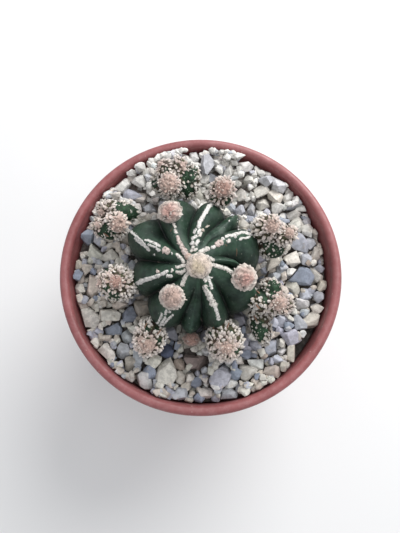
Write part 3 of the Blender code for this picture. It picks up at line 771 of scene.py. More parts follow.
# Strokes of wool as they lie in the picture: path, width at its start and end in pixels, and tone
seamStrokes = [
    (((187, 256), (183, 249), (179, 242), (177, 236)), 6.5, 2.8, "pink"),
    (((176.3, 233.5), (174.5, 229.5)), 3, 3, "cream"), (((174.6, 228), (173, 223)), 3, 3, "cream"),
    (((165.2, 200), (165.3, 195), (167, 191)), 1.6, 1.6, "white"),
    (((168.5, 200), (170, 196), (171, 193)), 2, 2, "white"), (((191, 252), (193.5, 246)), 3, 3, "cream"),
    (((194, 251), (197, 248.5)), 2.5, 2.5, "cream"), (((190.8, 245), (193.5, 241.5)), 3, 3, "white"),
    (((195.3, 245), (198.5, 240)), 3.5, 3.5, "white"), (((191.5, 239.5), (196.5, 235.5)), 3, 3, "white"),
    (((193.5, 233.5), (196, 228.5)), 2.5, 2.5, "white"), (((197.5, 234), (200, 229)), 3, 3, "white"),
    (((199.5, 236.5), (201, 232)), 2.5, 2.5, "cream"), (((202, 231), (203, 229)), 3, 3, "tan"),
    (((198.5, 228), (199, 223), (201.5, 219), (204.5, 213), (208, 207.5), (211, 204),
      (214, 202)), 4, 4, "white"),
    (((220, 205), (226, 203)), 6, 6, "white"),
    (((225.3, 210.5), (226, 213.5), (227.5, 215)), 1.6, 1.6, "white"),
    (((231, 215), (235, 218.5), (238, 221)), 1.8, 1.8, "white"),
    (((237.8, 226), (238.5, 229.5)), 1.7, 1.7, "white"),
    (((228.2, 220.7), (229.2, 221.3)), 1.8, 1.8, "white"), (((205, 227.5), (209, 225.5)), 1.3, 1.3, "tan"),
    (((199, 252.5), (204, 250), (209, 248)), 4.5, 4.5, "cream"),
    (((211, 248), (215, 246.5)), 3.5, 3.5, "white"), (((216, 245), (222, 241.5)), 6.5, 6, "pink"),
    (((221.5, 239.3), (223.5, 237.7)), 3, 3, "white"),
    (((227.3, 242.5), (229.8, 239.5)), 3.6, 3.6, "cream"),
    (((225, 236.5), (229, 235.5), (233, 235), (237, 233.5), (241, 232), (245, 232), (248, 233.5),
      (252, 234), (257, 233.7)), 2.6, 3, "white"),
    (((234, 237), (236, 236)), 2, 2, "white"),
    (((239, 240), (242, 237.5), (246, 238), (250, 236)), 2, 2, "white"),
    (((246.3, 231.5), (246.6, 229.5)), 1.4, 1.0, "white"),
    (((205, 256), (209, 257.5), (214, 260.5)), 3.5, 3, "cream"),
    (((211, 264.5), (217, 266), (222, 267.5), (227, 269), (232, 272.5)), 3.8, 3.5, "cream"),
    (((252, 284), (256, 288), (260, 291)), 1.6, 1.6, "white"),
    (((204, 277), (206, 282)), 3.5, 3.5, "cream"), (((207, 275), (210, 282), (212, 289)), 3, 3, "white"),
    (((211.3, 277), (211.5, 278.3)), 2, 2, "white"),
    (((204.8, 285.5), (206.5, 291), (209, 295), (212, 301), (216, 306)), 5, 6.5, "cream"),
    (((210, 303), (213, 305.5)), 3, 3, "cream"), (((214, 304), (217, 311), (219, 320)), 3.5, 3, "white"),
    (((188, 272.5), (184, 280), (182, 286)), 4, 4, "cream"),
    (((166.5, 309.5), (165.8, 315)), 2.2, 2.2, "white"),
    (((162.5, 313.5), (160.5, 319), (157.5, 324)), 2, 2, "white"),
    (((166, 317), (163, 322), (160, 326.5)), 2.5, 2.5, "white"),
    (((173.5, 314.5), (168, 320), (163, 325.5)), 2.2, 2.2, "white"),
    (((169, 312), (171, 312)), 2.2, 2.2, "white"),
    (((186, 265), (180, 266.5), (176, 268)), 2.8, 2.8, "cream"),
    (((186, 270), (180, 273), (176, 271.5)), 3.5, 3.2, "cream"),
    (((172.5, 269), (171.2, 272.5)), 1.8, 1.8, "cream"), (((166.5, 276), (172.5, 276.5)), 3, 3, "white"),
    (((168, 271), (163, 274), (157, 276.5), (150, 279), (143, 281), (137, 284)), 3.2, 4.6, "white"),
    (((156.5, 271.5), (159.5, 272.5)), 3, 3, "pink"),
    (((184.5, 263), (181, 258.5), (176, 254)), 4, 2.6, "cream"),
    (((171.5, 254), (172.5, 254)), 1.6, 1.6, "white"), (((163, 250), (169, 252)), 7, 7, "pink"),
    (((160, 251), (156, 249)), 3, 3, "white"),
    (((160, 247), (154, 243), (148, 241), (144.5, 240)), 2.4, 2.2, "white"),
    (((157, 248), (152, 246.5), (147.5, 244.5)), 2, 2, "white"),
    (((149.5, 251.5), (146, 247), (141, 241), (136, 236.5), (131, 232.5), (128, 230.5)), 2.6, 2.6, "white"),
    (((146, 247.5), (140, 243.5), (134.5, 238.5)), 2.3, 2.0, "white"),
    (((153.8, 254.5), (154.8, 254.6)), 1.6, 1.6, "white"),
]
woolShape = dict(endReach=0.16, step=0.4, across=9, fuller=0.94, wider=0.2, sunk=0.12, height=0.25,
                 heightSpread=0.5, edgeNoise=0.5, foldSize=0.5, fineFold=0.22, crackWidth=0.085,
                 seamShade=0.88, edgeTufts=0.8, hairs=0.8, hairLength=(0.3, 0.7), hairWidth=0.04, seed=21,
                 flake=dict(length=(0.22, 0.45), width=(0.18, 0.32), thick=(0.12, 0.2), curl=(-0.3, 0.1)))


def measurePath(path):
    # The lengths of a path's stretches, and how far along it each of its points lies
    steps = np.hypot(*np.diff(path, axis=0).T)
    return steps, np.concatenate(([0], np.cumsum(steps)))


def tornEdge(at, seed, side):
    # How far a patch's edge stands out here, against its even width
    coarse, fine = Vector((at / 2.1, seed, side)), Vector((at, seed, side + 9))
    return 1 + woolShape["edgeNoise"] * (noise.noise(coarse) + 0.55 * noise.noise(fine))


def padStrip(path, startWidth, endWidth, tone, seed, tall=1.0):
    # One patch of felt along a path in the picture: crowned and cracked, with torn edges, its foot sunk in
    w = woolShape
    path = np.array(path, float)
    path[0] += unit(path[0] - path[1]) * startWidth * w["endReach"]
    path[-1] += unit(path[-1] - path[-2]) * endWidth * w["endReach"]
    run = measurePath(path)[1]
    count = max(5, int(run[-1] / w["step"]) + 1)
    at = np.linspace(0, run[-1], count)
    middle = np.stack((np.interp(at, run, path[:, 0]), np.interp(at, run, path[:, 1])), -1)
    if len(path) > 2:
        for _ in range(4):
            middle[1:-1] = (middle[:-2] + 2 * middle[1:-1] + middle[2:]) / 4
    along = unit(np.gradient(middle, axis=0))
    beside = np.stack((-along[:, 1], along[:, 0]), -1)
    wide = (startWidth + (endWidth - startWidth) * at / run[-1]) * w["fuller"] + w["wider"]
    ends = np.clip(np.minimum(at, run[-1] - at) / (0.5 * wide), 0.03, 1)
    taper = np.sqrt(ends * (2 - ends))
    shares = np.sin(np.linspace(-1, 1, w["across"]) * math.pi / 2)
    white, pink = (np.array(woolTones[key]) if tall == 1 else tone for key in ("white", "pink"))
    top, bottom, colours = [], [], []
    for row in range(count):
        left, right = tornEdge(at[row], seed, 0), tornEdge(at[row], seed, 50)
        for share in shares:
            edge = left if share < 0 else right
            hit = castOn(stemTree, *(middle[row] + beside[row] * share * edge * wide[row] * taper[row] / 2))
            if hit is None:
                if not top:
                    return None
                for made in (top, bottom, colours):
                    made.append(made[-1])
                continue
            spot, normal = hit
            place = Vector(spot)
            crown = max(1 - abs(share) ** 3, 0) ** 0.5 * min(1, taper[row] * 1.2)
            fold = (noise.noise(place / w["foldSize"] + Vector((seed, 0, 0)))
                    + 0.35 * noise.noise(place / w["fineFold"]))
            crack = min(1, abs(noise.noise(place + Vector((0, seed, 3)))) / w["crackWidth"])
            height = (tall * w["height"] * crown * (1 + w["heightSpread"] * fold) * (0.35 + 0.65 * crack)
                      * min(1.25, 0.55 + wide[row] * 0.12))
            top.append(spot + normal * height)
            bottom.append(spot - normal * w["sunk"])
            # The cracks are painted dark with shade as well as sunk; the patch is paler along its crown and
            # darker and pinker at its edges
            pale = min(1, max(0, 0.3 + 0.6 * crown + 0.45 * fold))
            colours.append(((tone * 0.45 + pink * 0.08) * (1 - pale) + (tone * 0.5 + white * 0.5) * pale)
                           * (0.16 + 0.84 * crack) * w["seamShade"])
    upper = np.arange(len(top)).reshape(count, -1)
    lower = upper + len(top)
    sheets = [upper, lower.T, np.stack((upper[:, 0], lower[:, 0])), np.stack((upper[-1], lower[-1])),
              np.stack((upper[0], lower[0]), -1), np.stack((upper[:, -1], lower[:, -1]), -1)]
    faces = quadsToTriangles(np.concatenate([gridQuads(sheet) for sheet in sheets]))
    return np.array(top + bottom), faces, np.array(colours + colours)


# Corky scars on the skin: path and width in pixels
scarStrokes = [
    (((236.3, 248), (236.9, 252), (236.2, 256)), 1.2), (((172.5, 227.5), (170, 232)), 1.1),
    (((225, 244), (227, 246)), 0.9), (((201, 318), (202.5, 322)), 0.8), (((157, 262), (160, 263)), 0.7),
]
scarTone = np.array((0.17, 0.095, 0.05))


def makeScars():
    parts = [padStrip(path, wide * 0.6, wide * 0.4, scarTone, 200 + index, 0.22)
             for index, (path, wide) in enumerate(scarStrokes)]
    makePiece("corkScars", [part for part in parts if part], "felt", "cactus_skin")


def edgeTufts(rng):
    # Where short torn points grow along the edges of the patches: spots, skin directions, ways and tones
    grown = []
    for path, startWidth, endWidth, toneName in seamStrokes:
        path = np.array(path, float)
        steps, run = measurePath(path)
        for at in rng.uniform(0, run[-1], max(3, round(run[-1] * woolShape["edgeTufts"]))):
            piece = min(np.searchsorted(run, at, side="right") - 1, len(steps) - 1)
            along = (path[piece + 1] - path[piece]) / steps[piece]
            wide = startWidth + (endWidth - startWidth) * at / run[-1]
            beside = np.array((-along[1], along[0])) * rng.choice((-1, 1))
            spot = path[piece] + along * (at - run[piece]) + beside * wide * rng.uniform(0.2, 0.42)
            hit = castOn(stemTree, *spot)
            if hit:
                go = beside + along * rng.normal(0, 0.9)
                grown.append((*hit, (go[0], -go[1], 0), woolTones[toneName]))
    return [np.array(values) for values in zip(*grown)]


def makeWool():
    w = woolShape
    rng = np.random.default_rng(w["seed"])
    strips = [padStrip(path, startWidth, endWidth, np.array(woolTones[toneName]), index * 3.1)
              for index, (path, startWidth, endWidth, toneName) in enumerate(seamStrokes)]
    parts = [strip for strip in strips if strip]
    spots, normals, ways, tones = edgeTufts(rng)
    count = len(spots)
    ways = alongSurface(ways, normals)
    tips = (np.array(woolTones["white"]) * 0.6 + tones * 0.4) * rng.uniform(0.85, 1.0, (count, 1))
    axes = ways + normals * rng.uniform(0.1, 0.6, (count, 1))
    parts.append(growFlakes(rng, spots, axes, normals, drawSizes(rng, w["flake"], count), tones * 0.8, tips))
    hairs = rng.random(count) < w["hairs"]
    axes = ways[hairs] * 0.9 + normals[hairs] * 0.5 + rng.normal(0, 0.4, (hairs.sum(), 3))
    lengths = rng.uniform(*w["hairLength"], hairs.sum())
    parts.append(growFibres(rng, spots[hairs], axes, lengths, w["hairWidth"], tips[hairs]))
    makePiece("crownWool", parts + capParts(rng), "felt", "white_wool", "wool")


capShape = dict(pixel=(199, 265.5), heart=(198, 267.5), lift=0.6, radius=3.2, flatness=0.62, net=6500,
                folds=5, depth=0.07, hairs=900, hairLength=(0.25, 0.5), knobPixel=(188.8, 257.2),
                knobRadius=0.95, knobNet=900)


def capParts(rng):
    # The felted cap: a cushion of soft folds that close over its middle, with a small pink knob beside it
    c = capShape
    middle = pixelAt(*c["pixel"], stemShape["crownTop"] + c["lift"])
    turn = turnTo((0, -0.12, 1))
    cap = feltCushion(middle, turn, c["radius"], c["flatness"], c["net"], c["folds"], c["depth"],
                      ("hay", "sand", "oat"), 3, c["heart"])
    spot, normal = castOn(stemTree, *c["knobPixel"])
    knob = feltCushion(spot + normal * 0.25, turnTo(normal), c["knobRadius"], 0.8, c["knobNet"], 4, 0.09,
                       ("blush", "fawn", "fawn"), 5, c["knobPixel"])
    hairs = fuzz(rng, middle, turn, c["radius"] * 1.04, c["flatness"], c["hairs"], c["hairLength"],
                 np.array(woolTones["cream"]))
    return [cap, knob, hairs]


makeWool()
makeScars()


# Each bud: bearing, distance, height and radius as in the solid, then its folds, tones and loose flakes
buds = dict(
    budNorthwest=dict(place=(117.7, 16.9, 84.8), radius=3.4, node="bud_northwest", folds=6, depth=0.10,
                      tones=("rose", "flesh", "oat"), heart=(168, 211), flakes=34,
                      pits=((164.3, 217.7), (172.7, 219.2))),
    budEast=dict(place=(-15.2, 12.3, 87.0), radius=3.4, node="bud_east", folds=7, depth=0.13,
                 tones=("rose", "flesh", "oat"), heart=(247.5, 280), flakes=46,
                 pits=((239, 279), (244, 288.5))),
    budSouthwest=dict(place=(232, 10.8, 87.7), radius=3.4, node="bud_southwest", folds=9, depth=0.085,
                      tones=("fawn", "flesh", "oat"), heart=(172.5, 297), flakes=14, pits=()),
    budLow=dict(place=(264.6, 20.4, 68.4), radius=2.4, node="bud_low", folds=6, depth=0.07,
                tones=("clay", "clay", "fawn"), heart=(192, 341), flakes=10, pits=()),
)
budShape = dict(flatness=0.86, net=6000, levels=(-0.35, 0.45), hairs=1000, hairLength=(0.25, 0.55), seed=8,
                flake=dict(length=(0.7, 1.25), width=(0.6, 1.05), thick=(0.2, 0.34), curl=(-0.3, 0.25)))


def makeBud(name, bud, seed):
    b = budShape
    rng = np.random.default_rng(b["seed"] + seed)
    middle = fromAxis(*bud["place"])
    radius = bud["radius"]
    turn = turnTo(middle - axisAt(stemShape["widest"]))
    _, flesh, edge = (np.array(woolTones[key]) for key in bud["tones"])
    parts = [feltCushion(middle, turn, radius * 0.93, b["flatness"], b["net"], bud["folds"], bud["depth"],
                         bud["tones"], seed * 7 + 11, bud["heart"], bud["pits"])]
    count = bud["flakes"]
    around = spiralTurn(np.arange(count)) + rng.normal(0, 0.1, count)
    up = rng.uniform(*b["levels"], count)
    out = np.sqrt(1 - up * up)
    ball = ballPoints(up, around)
    normals = headNormal(ball, b["flatness"])
    roots = ball * radius * 0.84 * np.array((1, 1, b["flatness"]))
    toTop = unit(np.stack((-ball[:, 0] * up, -ball[:, 1] * up, out ** 2 + 1e-3), -1))
    axes = normals * rng.uniform(0.35, 0.9, (count, 1)) + toTop * rng.uniform(-0.2, 0.9, (count, 1))
    axes = axes + rng.normal(0, 0.2, (count, 3))
    tips = edge + (np.array(woolTones["white"]) - edge) * rng.uniform(0, 0.6, (count, 1))
    tips = np.minimum(tips * min(1, flesh[0] / 0.6), palestWool)
    parts.append(growFlakes(rng, middle + roots @ turn.T, axes @ turn.T, normals @ turn.T,
                            drawSizes(rng, b["flake"], count), np.broadcast_to(flesh * 0.8, (count, 3)), tips,
                            sides=8, rings=petalRings))
    parts.append(fuzz(rng, middle, turn, radius * 0.95, b["flatness"], int(b["hairs"] * (radius / 3.4) ** 2),
                      b["hairLength"], np.minimum(edge * 1.08, palestWool)))
    makePiece(name, parts, "felt", "pink_wool", bud["node"])


for seed, (name, bud) in enumerate(buds.items()):
    makeBud(name, bud, seed)


# Each head: bearing, distance and height of its foot, the same of its tip, radius, and how woolly it is
offsets = dict(
    offset_northwest=(((110, 25.4, 73), (108.6, 31.6, 76), 3.2, 0.8),
        ((104, 25.4, 72), (100.8, 31.6, 76.2), 3.1, 0.75), ((98, 24.4, 70.5), (94.2, 29.6, 73), 3.0, 0.45),
        ((112, 26.4, 71), (114.6, 29.4, 71.5), 2.9, 0.5),
        ((109.5, 25.2, 78.4), (109, 26.2, 79.4), 2.8, 1.0)),
    offset_north=(((74, 22.6, 76.0), (73.6, 24.4, 77.4), 3.9, 0.9),),
    offset_northeast=(((32, 21.6, 77.2), (31.5, 23.0, 79.0), 3.8, 0.95),
        ((24, 24.6, 74.6), (22.2, 27.3, 75.8), 3.2, 0.9), ((20, 21.4, 71.6), (17, 23.4, 71.4), 3.7, 0.5)),
    offset_east=(((-24, 21.0, 76.0), (-23.3, 25.4, 76.6), 3.4, 0.9),
        ((-28, 18.8, 75.0), (-28.5, 20.0, 76.2), 3.4, 0.5),
        ((-36, 20.4, 72.0), (-46.0, 27.0, 70.0), 3.1, 0.1),
        ((-16, 20.2, 76.4), (-14.6, 21.4, 77.4), 2.6, 0.5)),
    offset_south=(((-70, 20.6, 72.4), (-70, 22.6, 74.0), 5.4, 0.85),),
    offset_southwest=(((234, 22.8, 71.4), (236.4, 25.0, 73.0), 4.7, 0.85),),
    offset_west=(((192, 22.4, 73.6), (190, 24.2, 75.4), 5.3, 0.8),),
    offset_west_upper=(((140, 26.4, 72.4), (147.2, 32.6, 75), 3.2, 0.6),
        ((154, 27.2, 72.6), (156, 30.8, 73.6), 3.7, 0.6), ((150, 26.4, 78), (151, 27.2, 79), 2.8, 0.95)),
)
# Growth centres seen in the picture: pixel, radius in pixels, and tone
growthCentres = dict(
    offset_northwest=(((167, 183), 10.5, "fawn"), ((160, 164), 4.5, "flesh"), ((173, 158), 5, "flesh"),
        ((182, 165), 4.5, "flesh")),
    offset_north=(((223, 188), 10, "clay"),),
    offset_northeast=(((272, 225), 7.5, "fawn"), ((289, 232), 6, "fawn")),
    offset_east=(((281, 303), 8, "fawn"), ((279, 292), 5, "flesh")),
    offset_south=(((227, 348), 7.5, "fawn"), ((219, 345), 4.5, "flesh")),
    offset_southwest=(((148, 346), 8, "fawn"), ((141, 340), 4, "flesh")),
    offset_west=(((115.5, 282), 7.5, "clay"), ((100, 283), 4.5, "flesh")),
    offset_west_upper=(((118.5, 224), 9.5, "fawn"), ((101, 213), 5, "flesh"), ((97, 225), 4.5, "flesh")),
)
# Skin that shows almost bare: pixel and radius in pixels
bareSkin = dict(
    offset_northwest=(((189, 176), 7), ((187, 190), 6), ((194, 168), 3), ((153, 184), 4), ((167, 171), 3)),
    offset_north=(((211, 197), 3.5), ((227, 201), 3)),
    offset_northeast=(((275, 251), 8), ((266, 244), 3), ((281, 227), 2.5)),
    offset_east=(((275, 286), 7), ((262, 293), 4.5), ((266, 300), 3), ((257, 331), 10), ((272, 296), 2.5)),
    offset_south=(((211, 334), 3), ((232, 333), 2.5), ((237, 350), 2.5)),
    offset_southwest=(((147, 328), 3.5), ((157, 330), 2.5), ((160, 342), 3)),
    offset_west=(((113, 298), 6.5), ((104, 270), 4), ((106, 289), 2.5)),
    offset_west_upper=(((130, 212), 9), ((118, 208), 5), ((107, 232), 8), ((108, 241), 5)),
)
# Dried brown ends: from and to, in pixels
driedEnds = dict(
    offset_east=(((257, 291), (261, 296)), ((256, 303), (261, 307)), ((255, 316), (260, 324))),
    offset_south=(((214, 329), (217, 325)), ((227, 329), (229, 324))),
    offset_southwest=(((157, 335), (160, 331)), ((145, 330), (149, 326))),
    offset_west_upper=(((104, 234), (108, 236)),),
)
# How pale the tufts of each cluster are
paleness = dict(offset_northwest=0.94, offset_north=1.04, offset_northeast=1.02, offset_east=0.95,
                offset_south=1.02, offset_southwest=1.16, offset_west=1.04, offset_west_upper=1.04)
tuftShape = dict(spacing=0.9, net=1500, bodyScale=0.9, bumpHeight=0.3, bumpSize=1.0, jitter=0.2, dropped=0.12,
                 length=(0.8, 1.6), width=(0.62, 1.2), thick=(0.22, 0.38), curl=(-0.4, 0.3), lift=(0.3, 1.2),
                 swing=0.75, blush=1.7, lilac=3.5, hairs=0.4, bareShare=0.3, bareSize=0.7, blunt=0.4, seed=40,
                 bluntRings=((0, 0.5), (0.35, 0.85), (0.68, 1.0), (0.92, 0.6)))
growthShape = dict(pixelsPerMm=3.75, flatness=0.66, net=1500, folds=5, depth=0.15, flakes=46, fullRadius=2.6,
                   hairs=24, hairLength=(0.2, 0.5),
                   flake=dict(length=(0.55, 1.15), width=(0.4, 0.9), thick=(0.16, 0.3), curl=(-0.6, 0.4)))
driedEnd = dict(length=2.4, width=0.42, thick=0.3, curl=-0.3)
headTones = dict(green=(0.015, 0.036, 0.018), olive=(0.055, 0.055, 0.028), brown=(0.055, 0.036, 0.026))


def headAxes(foot, tip, radius):
    start, end = fromAxis(*foot), fromAxis(*tip)
    half = np.linalg.norm(end - start) / 2
    return (start + end) / 2, turnTo(end - start), (half + radius) / radius


def growthCushion(rng, spot, normal, radius, toneName, pixel, seed):
    # A woolly growing point: a folded cushion with small flakes that close over it
    g = growthShape
    turn = turnTo(unit(normal) + np.array((0, 0, 0.7)))
    middle = spot - turn[:, 2] * radius * 0.3
    tone, white = np.array(woolTones[toneName]), np.array(woolTones["cream"])
    cushion = feltCushion(middle, turn, radius * 0.9, g["flatness"], g["net"], g["folds"], g["depth"],
                          (toneName, toneName, "flesh"), seed, pixel)
    count = round(g["flakes"] * (radius / g["fullRadius"]) ** 2)
    step = np.arange(count)
    up = 1 - (step + 0.5) / count * 1.05
    ball = ballPoints(up, spiralTurn(step) + seed + rng.normal(0, 0.25, count))
    normals = headNormal(ball, g["flatness"]) @ turn.T
    away = unit(ball @ turn.T - turn[:, 2] * up[:, None] + 1e-4)
    axes = normals * rng.uniform(0.1, 0.9, (count, 1)) + away * rng.uniform(-0.7, 0.8, (count, 1))
    axes = axes + rng.normal(0, 0.4, (count, 3))
    out = np.sqrt(np.clip(1 - up * up, 0, 1))
    pale = np.clip(-0.1 + 0.7 * out[:, None] + rng.normal(0, 0.28, (count, 1)), 0, 1)
    tips = tone * 1.1 + (white - tone * 1.1) * pale
    roots = middle + (ball * radius * 0.9 * np.array((1, 1, g["flatness"]))) @ turn.T
    flakes = growFlakes(rng, roots, axes, normals, drawSizes(rng, g["flake"], count),
                        tone * 0.45 + tips * 0.1, np.clip(tips, 0, palestWool), sides=6, rings=petalRings)
    hairs = fuzz(rng, middle, turn, radius * 0.93, g["flatness"], round(g["hairs"] * radius ** 2),
                 g["hairLength"], white)
    return [cushion, flakes, hairs]


def headBody(name, head, index, seed):
    # One head's lumpy green body, browner where it isn't bare
    t = tuftShape
    middle, turn, stretch, radius, _ = head
    net, faces = sphereNet(t["net"])
    body = net * (radius * t["bodyScale"]) * (1, 1, stretch)
    swell = 0.6 * lumps(body + seed, t["bumpSize"], index) + 0.4 * np.abs(lumps(body, 0.6, index + 3))
    body = body + headNormal(net, stretch) * (t["bumpHeight"] * swell)[:, None]
    points = middle + body @ turn.T
    seen = pixelOf(points)
    bare = np.zeros((len(points), 1), bool)
    for (x, y), wide in bareSkin[name]:
        bare[:, 0] |= np.hypot(seen[:, 0] - x, seen[:, 1] - y) < wide * 1.15
    olive = ramp(lumps(points, 1.5, 7), -0.25, 0.25)[:, None]
    green, dry, brown = (np.array(headTones[key]) for key in ("green", "olive", "brown"))
    return points, faces, np.where(bare, green * (1 + 0.5 * olive), brown + (dry - brown) * olive)


def tuftRoots(rng, placed, index, seed):
    # Where tufts may grow on one head: in a spiral, outside the other heads and the stem
    t = tuftShape
    middle, turn, stretch, radius, woolly = placed[index]
    count = round(4 * math.pi * radius ** 2 * stretch / t["spacing"] ** 2)
    step = np.arange(count) + rng.uniform(-0.3, 0.3, count)
    up = np.clip(1 - 2 * (step + 0.5) / count, -1, 1)
    ball = ballPoints(up, spiralTurn(step) + seed + rng.normal(0, t["jitter"], count))
    normals = headNormal(ball, stretch) @ turn.T
    roots = middle + (ball * (radius * t["bodyScale"]) * (1, 1, stretch)) @ turn.T
    others = [head for other, head in enumerate(placed) if other != index]
    kept = []
    for spot, normal in zip(roots, normals):
        hidden = any(np.linalg.norm(((spot - centre) @ axes) / (wide * np.array((1, 1, tall)))) < 0.95
                     for centre, axes, tall, wide, _ in others)
        if not hidden and not insideStem(spot, -0.1) and rng.random() > t["dropped"]:
            kept.append((spot, normal, woolly))
    return kept


def growTufts(rng, name, roots, centres, sizes, blushes):
    # Flat woolly tufts that lean away from the nearest growth centre and take its blush
    t = tuftShape
    spots, normals, woolly = (np.array(values) for values in zip(*roots))
    apart = np.linalg.norm(spots[:, None] - centres[None], axis=2) - sizes[None]
    nearest = np.argmin(apart, 1)
    apart = apart[np.arange(len(spots)), nearest]
    keep = apart > -0.35 * sizes[nearest]
    seen = pixelOf(spots)
    small = np.ones(len(spots))
    for (x, y), wide in bareSkin[name]:
        bare = (np.hypot(seen[:, 0] - x, seen[:, 1] - y) < wide) & (normals[:, 2] > -0.2)
        small[bare] = t["bareSize"]
        keep &= ~bare | (rng.random(len(spots)) < t["bareShare"])
    spots, normals, woolly, nearest, apart, small = (values[keep] for values in
                                                     (spots, normals, woolly, nearest, apart, small))
    count = len(spots)
    out = alongSurface(spots - centres[nearest], normals)
    swing = rng.normal(0, t["swing"], count)
    way = out * np.cos(swing)[:, None] + np.cross(normals, out) * np.sin(swing)[:, None]
    lift = rng.uniform(*t["lift"], count)[:, None]
    grown = rng.random(count)
    size = (t["length"][0] + (t["length"][1] - t["length"][0]) * grown) * (0.75 + 0.3 * woolly) * small
    wide = (t["width"][0] + (t["width"][1] - t["width"][0]) * (0.6 * grown + 0.4 * rng.random(count))) * small
    white, cream, straw, lilac = (np.array(woolTones[key]) for key in ("white", "cream", "straw", "lilac"))
    tips = cream + (white - cream) * rng.random((count, 1))
    apart = np.maximum(apart, 0)
    tips = tips + (lilac - tips) * (rng.random((count, 1)) ** 1.5 * np.exp(-apart / t["lilac"])[:, None])
    rosy = (np.exp(-apart / t["blush"]) * rng.uniform(0.3, 1.0, count))[:, None]
    tips = tips + (blushes[nearest] * 1.2 - tips) * rosy * 0.75
    tips = tips * rng.uniform(0.85, 1.06, (count, 1)) * paleness[name] * (0.7 + 0.35 * woolly[:, None])
    rootTones = (straw * 0.55 + tips * 0.45) * 0.55
    parts = []
    blunt = rng.random(count) < t["blunt"]
    for some, rings in ((blunt, t["bluntRings"]), (~blunt, petalRings)):
        thick, curl = (rng.uniform(*t[key], some.sum()) for key in ("thick", "curl"))
        parts.append(growFlakes(rng, spots[some] - normals[some] * 0.15, (way + normals * lift)[some],
                                normals[some] - way[some] * 0.3, (size[some], wide[some], thick, curl),
                                rootTones[some], np.clip(tips[some], 0, palestWool), sides=6, rings=rings))
    hairy = rng.random(count) < t["hairs"]
    parts.append(growFibres(rng, spots[hairy], (way + normals)[hairy] + rng.normal(0, 0.5, (hairy.sum(), 3)),
                            size[hairy] * 1.05, 0.04, np.clip(tips[hairy] * 1.05, 0, palestWool)))
    return parts


def growDried(rng, name, skinTree):
    # The dried brown ends that stand out of a cluster
    parts = []
    for start, end in driedEnds.get(name, ()):
        hit = castOn(skinTree, *start)
        if hit:
            spot, normal = hit
            go = pixelAt(*end, spot[2]) - spot
            brown = np.array(woolTones["brown"])[None]
            sizes = [np.array((driedEnd[key],)) for key in ("length", "width", "thick", "curl")]
            parts.append(growFlakes(rng, spot[None] - go * 0.2, (go + normal * 1.2)[None], normal[None],
                                    sizes, brown * 0.7, brown * 1.5, sides=7, rings=petalRings))
    return parts


def makeOffset(name, heads, seed):
    rng = np.random.default_rng(tuftShape["seed"] + seed)
    placed = [headAxes(foot, tip, radius) + (radius, woolly) for foot, tip, radius, woolly in heads]
    skins, roots = [], []
    for index, head in enumerate(placed):
        skins.append(headBody(name, head, index, seed))
        roots += tuftRoots(rng, placed, index, seed)
    allPoints = np.concatenate([points for points, _, _ in skins])
    allFaces = np.concatenate([faces + order * len(skins[0][0]) for order, (_, faces, _) in enumerate(skins)])
    skinTree = BVHTree.FromPolygons([Vector(point) for point in allPoints], allFaces.tolist())
    parts, centres = [], []
    for order, (pixel, wide, toneName) in enumerate(growthCentres[name]):
        hit = castOn(skinTree, *pixel)
        if hit is None:
            print(name, "has no skin at", *pixel)
            continue
        radius = wide / growthShape["pixelsPerMm"]
        parts += growthCushion(rng, *hit, radius, toneName, pixel, seed * 5 + order)
        centres.append((hit[0], radius, woolTones[toneName]))
    parts += growTufts(rng, name, roots, *(np.array(values) for values in zip(*centres)))
    parts += growDried(rng, name, skinTree)
    makePiece("tufts" + name[6:], parts, "felt", "tufted_skin", name)
    makePiece("heads" + name[6:], skins, "headSkin", "tufted_skin", name)


for seed, (name, heads) in enumerate(offsets.items()):
    makeOffset(name, heads, seed)


outOfReach = 1000.0
bedShape = dict(gapPixel=(311, 341), bottom=57.65, top=60.3, wall=38.85, inner=10.6, rings=46, columns=220,
                rough=0.35, tone=(0.115, 0.10, 0.09), gapShade=0.65, farPaintedLight=1.8, farFrom=(4, 32))


def ceilingAt(x, y):
    # The stem's underside above this spot
    spot, _, _, _ = stemTree.ray_cast(Vector((x, y, bedShape["bottom"] - 0.2)), Vector((0, 0, 1)))
    return spot[2] if spot else outOfReach


def makeBed():
    b = bedShape
    turn = np.arange(b["columns"]) * math.tau / b["columns"]
    ring = np.stack((np.cos(turn), np.sin(turn)), -1)
    hub = axisAt(58)[:2]
    inner, outer = hub + ring * b["inner"], ring * b["wall"]
    rows = []
    for share in np.linspace(0, 1, b["rings"]):
        flat = inner * (1 - share) + ring * b["wall"] * share
        height = []
        for x, y in flat:
            crumb = noise.noise(Vector((x, y, 0)) / 1.3) + 0.6 * noise.noise(Vector((x, y, 7)) / 0.5)
            height.append(min(b["top"] + b["rough"] * crumb, ceilingAt(x, y) - 0.3))
        rows.append(np.column_stack((flat, np.maximum(height, b["bottom"] + 0.05))))
    rows += [np.column_stack((edge, np.full(len(ring), b["bottom"]))) for edge in (outer, inner)]
    points = np.concatenate(rows)
    faces = ringFaces(len(rows) + 1, b["columns"])
    faces = np.where(faces >= len(points), faces - len(points), faces)
    # Painted shade darkens the bed in the gap by the wall, and painted light pales it towards the far side
    gap = pixelAt(*b["gapPixel"], b["top"])
    shade = 1 - b["gapShade"] * ramp(np.hypot(*(points - gap)[:, :2].T), 9, 5)
    shade = shade * (1 + b["farPaintedLight"] * ramp(points[:, 1], *b["farFrom"]))
    tones = np.array(b["tone"]) * (shade * (1 + 0.35 * lumps(points, 0.8, 6)))[:, None]
    makePiece("gritBed", [(points, quadsToTriangles(faces), np.clip(tones, 0.02, 0.5))], "grit", "soil")


makeBed()

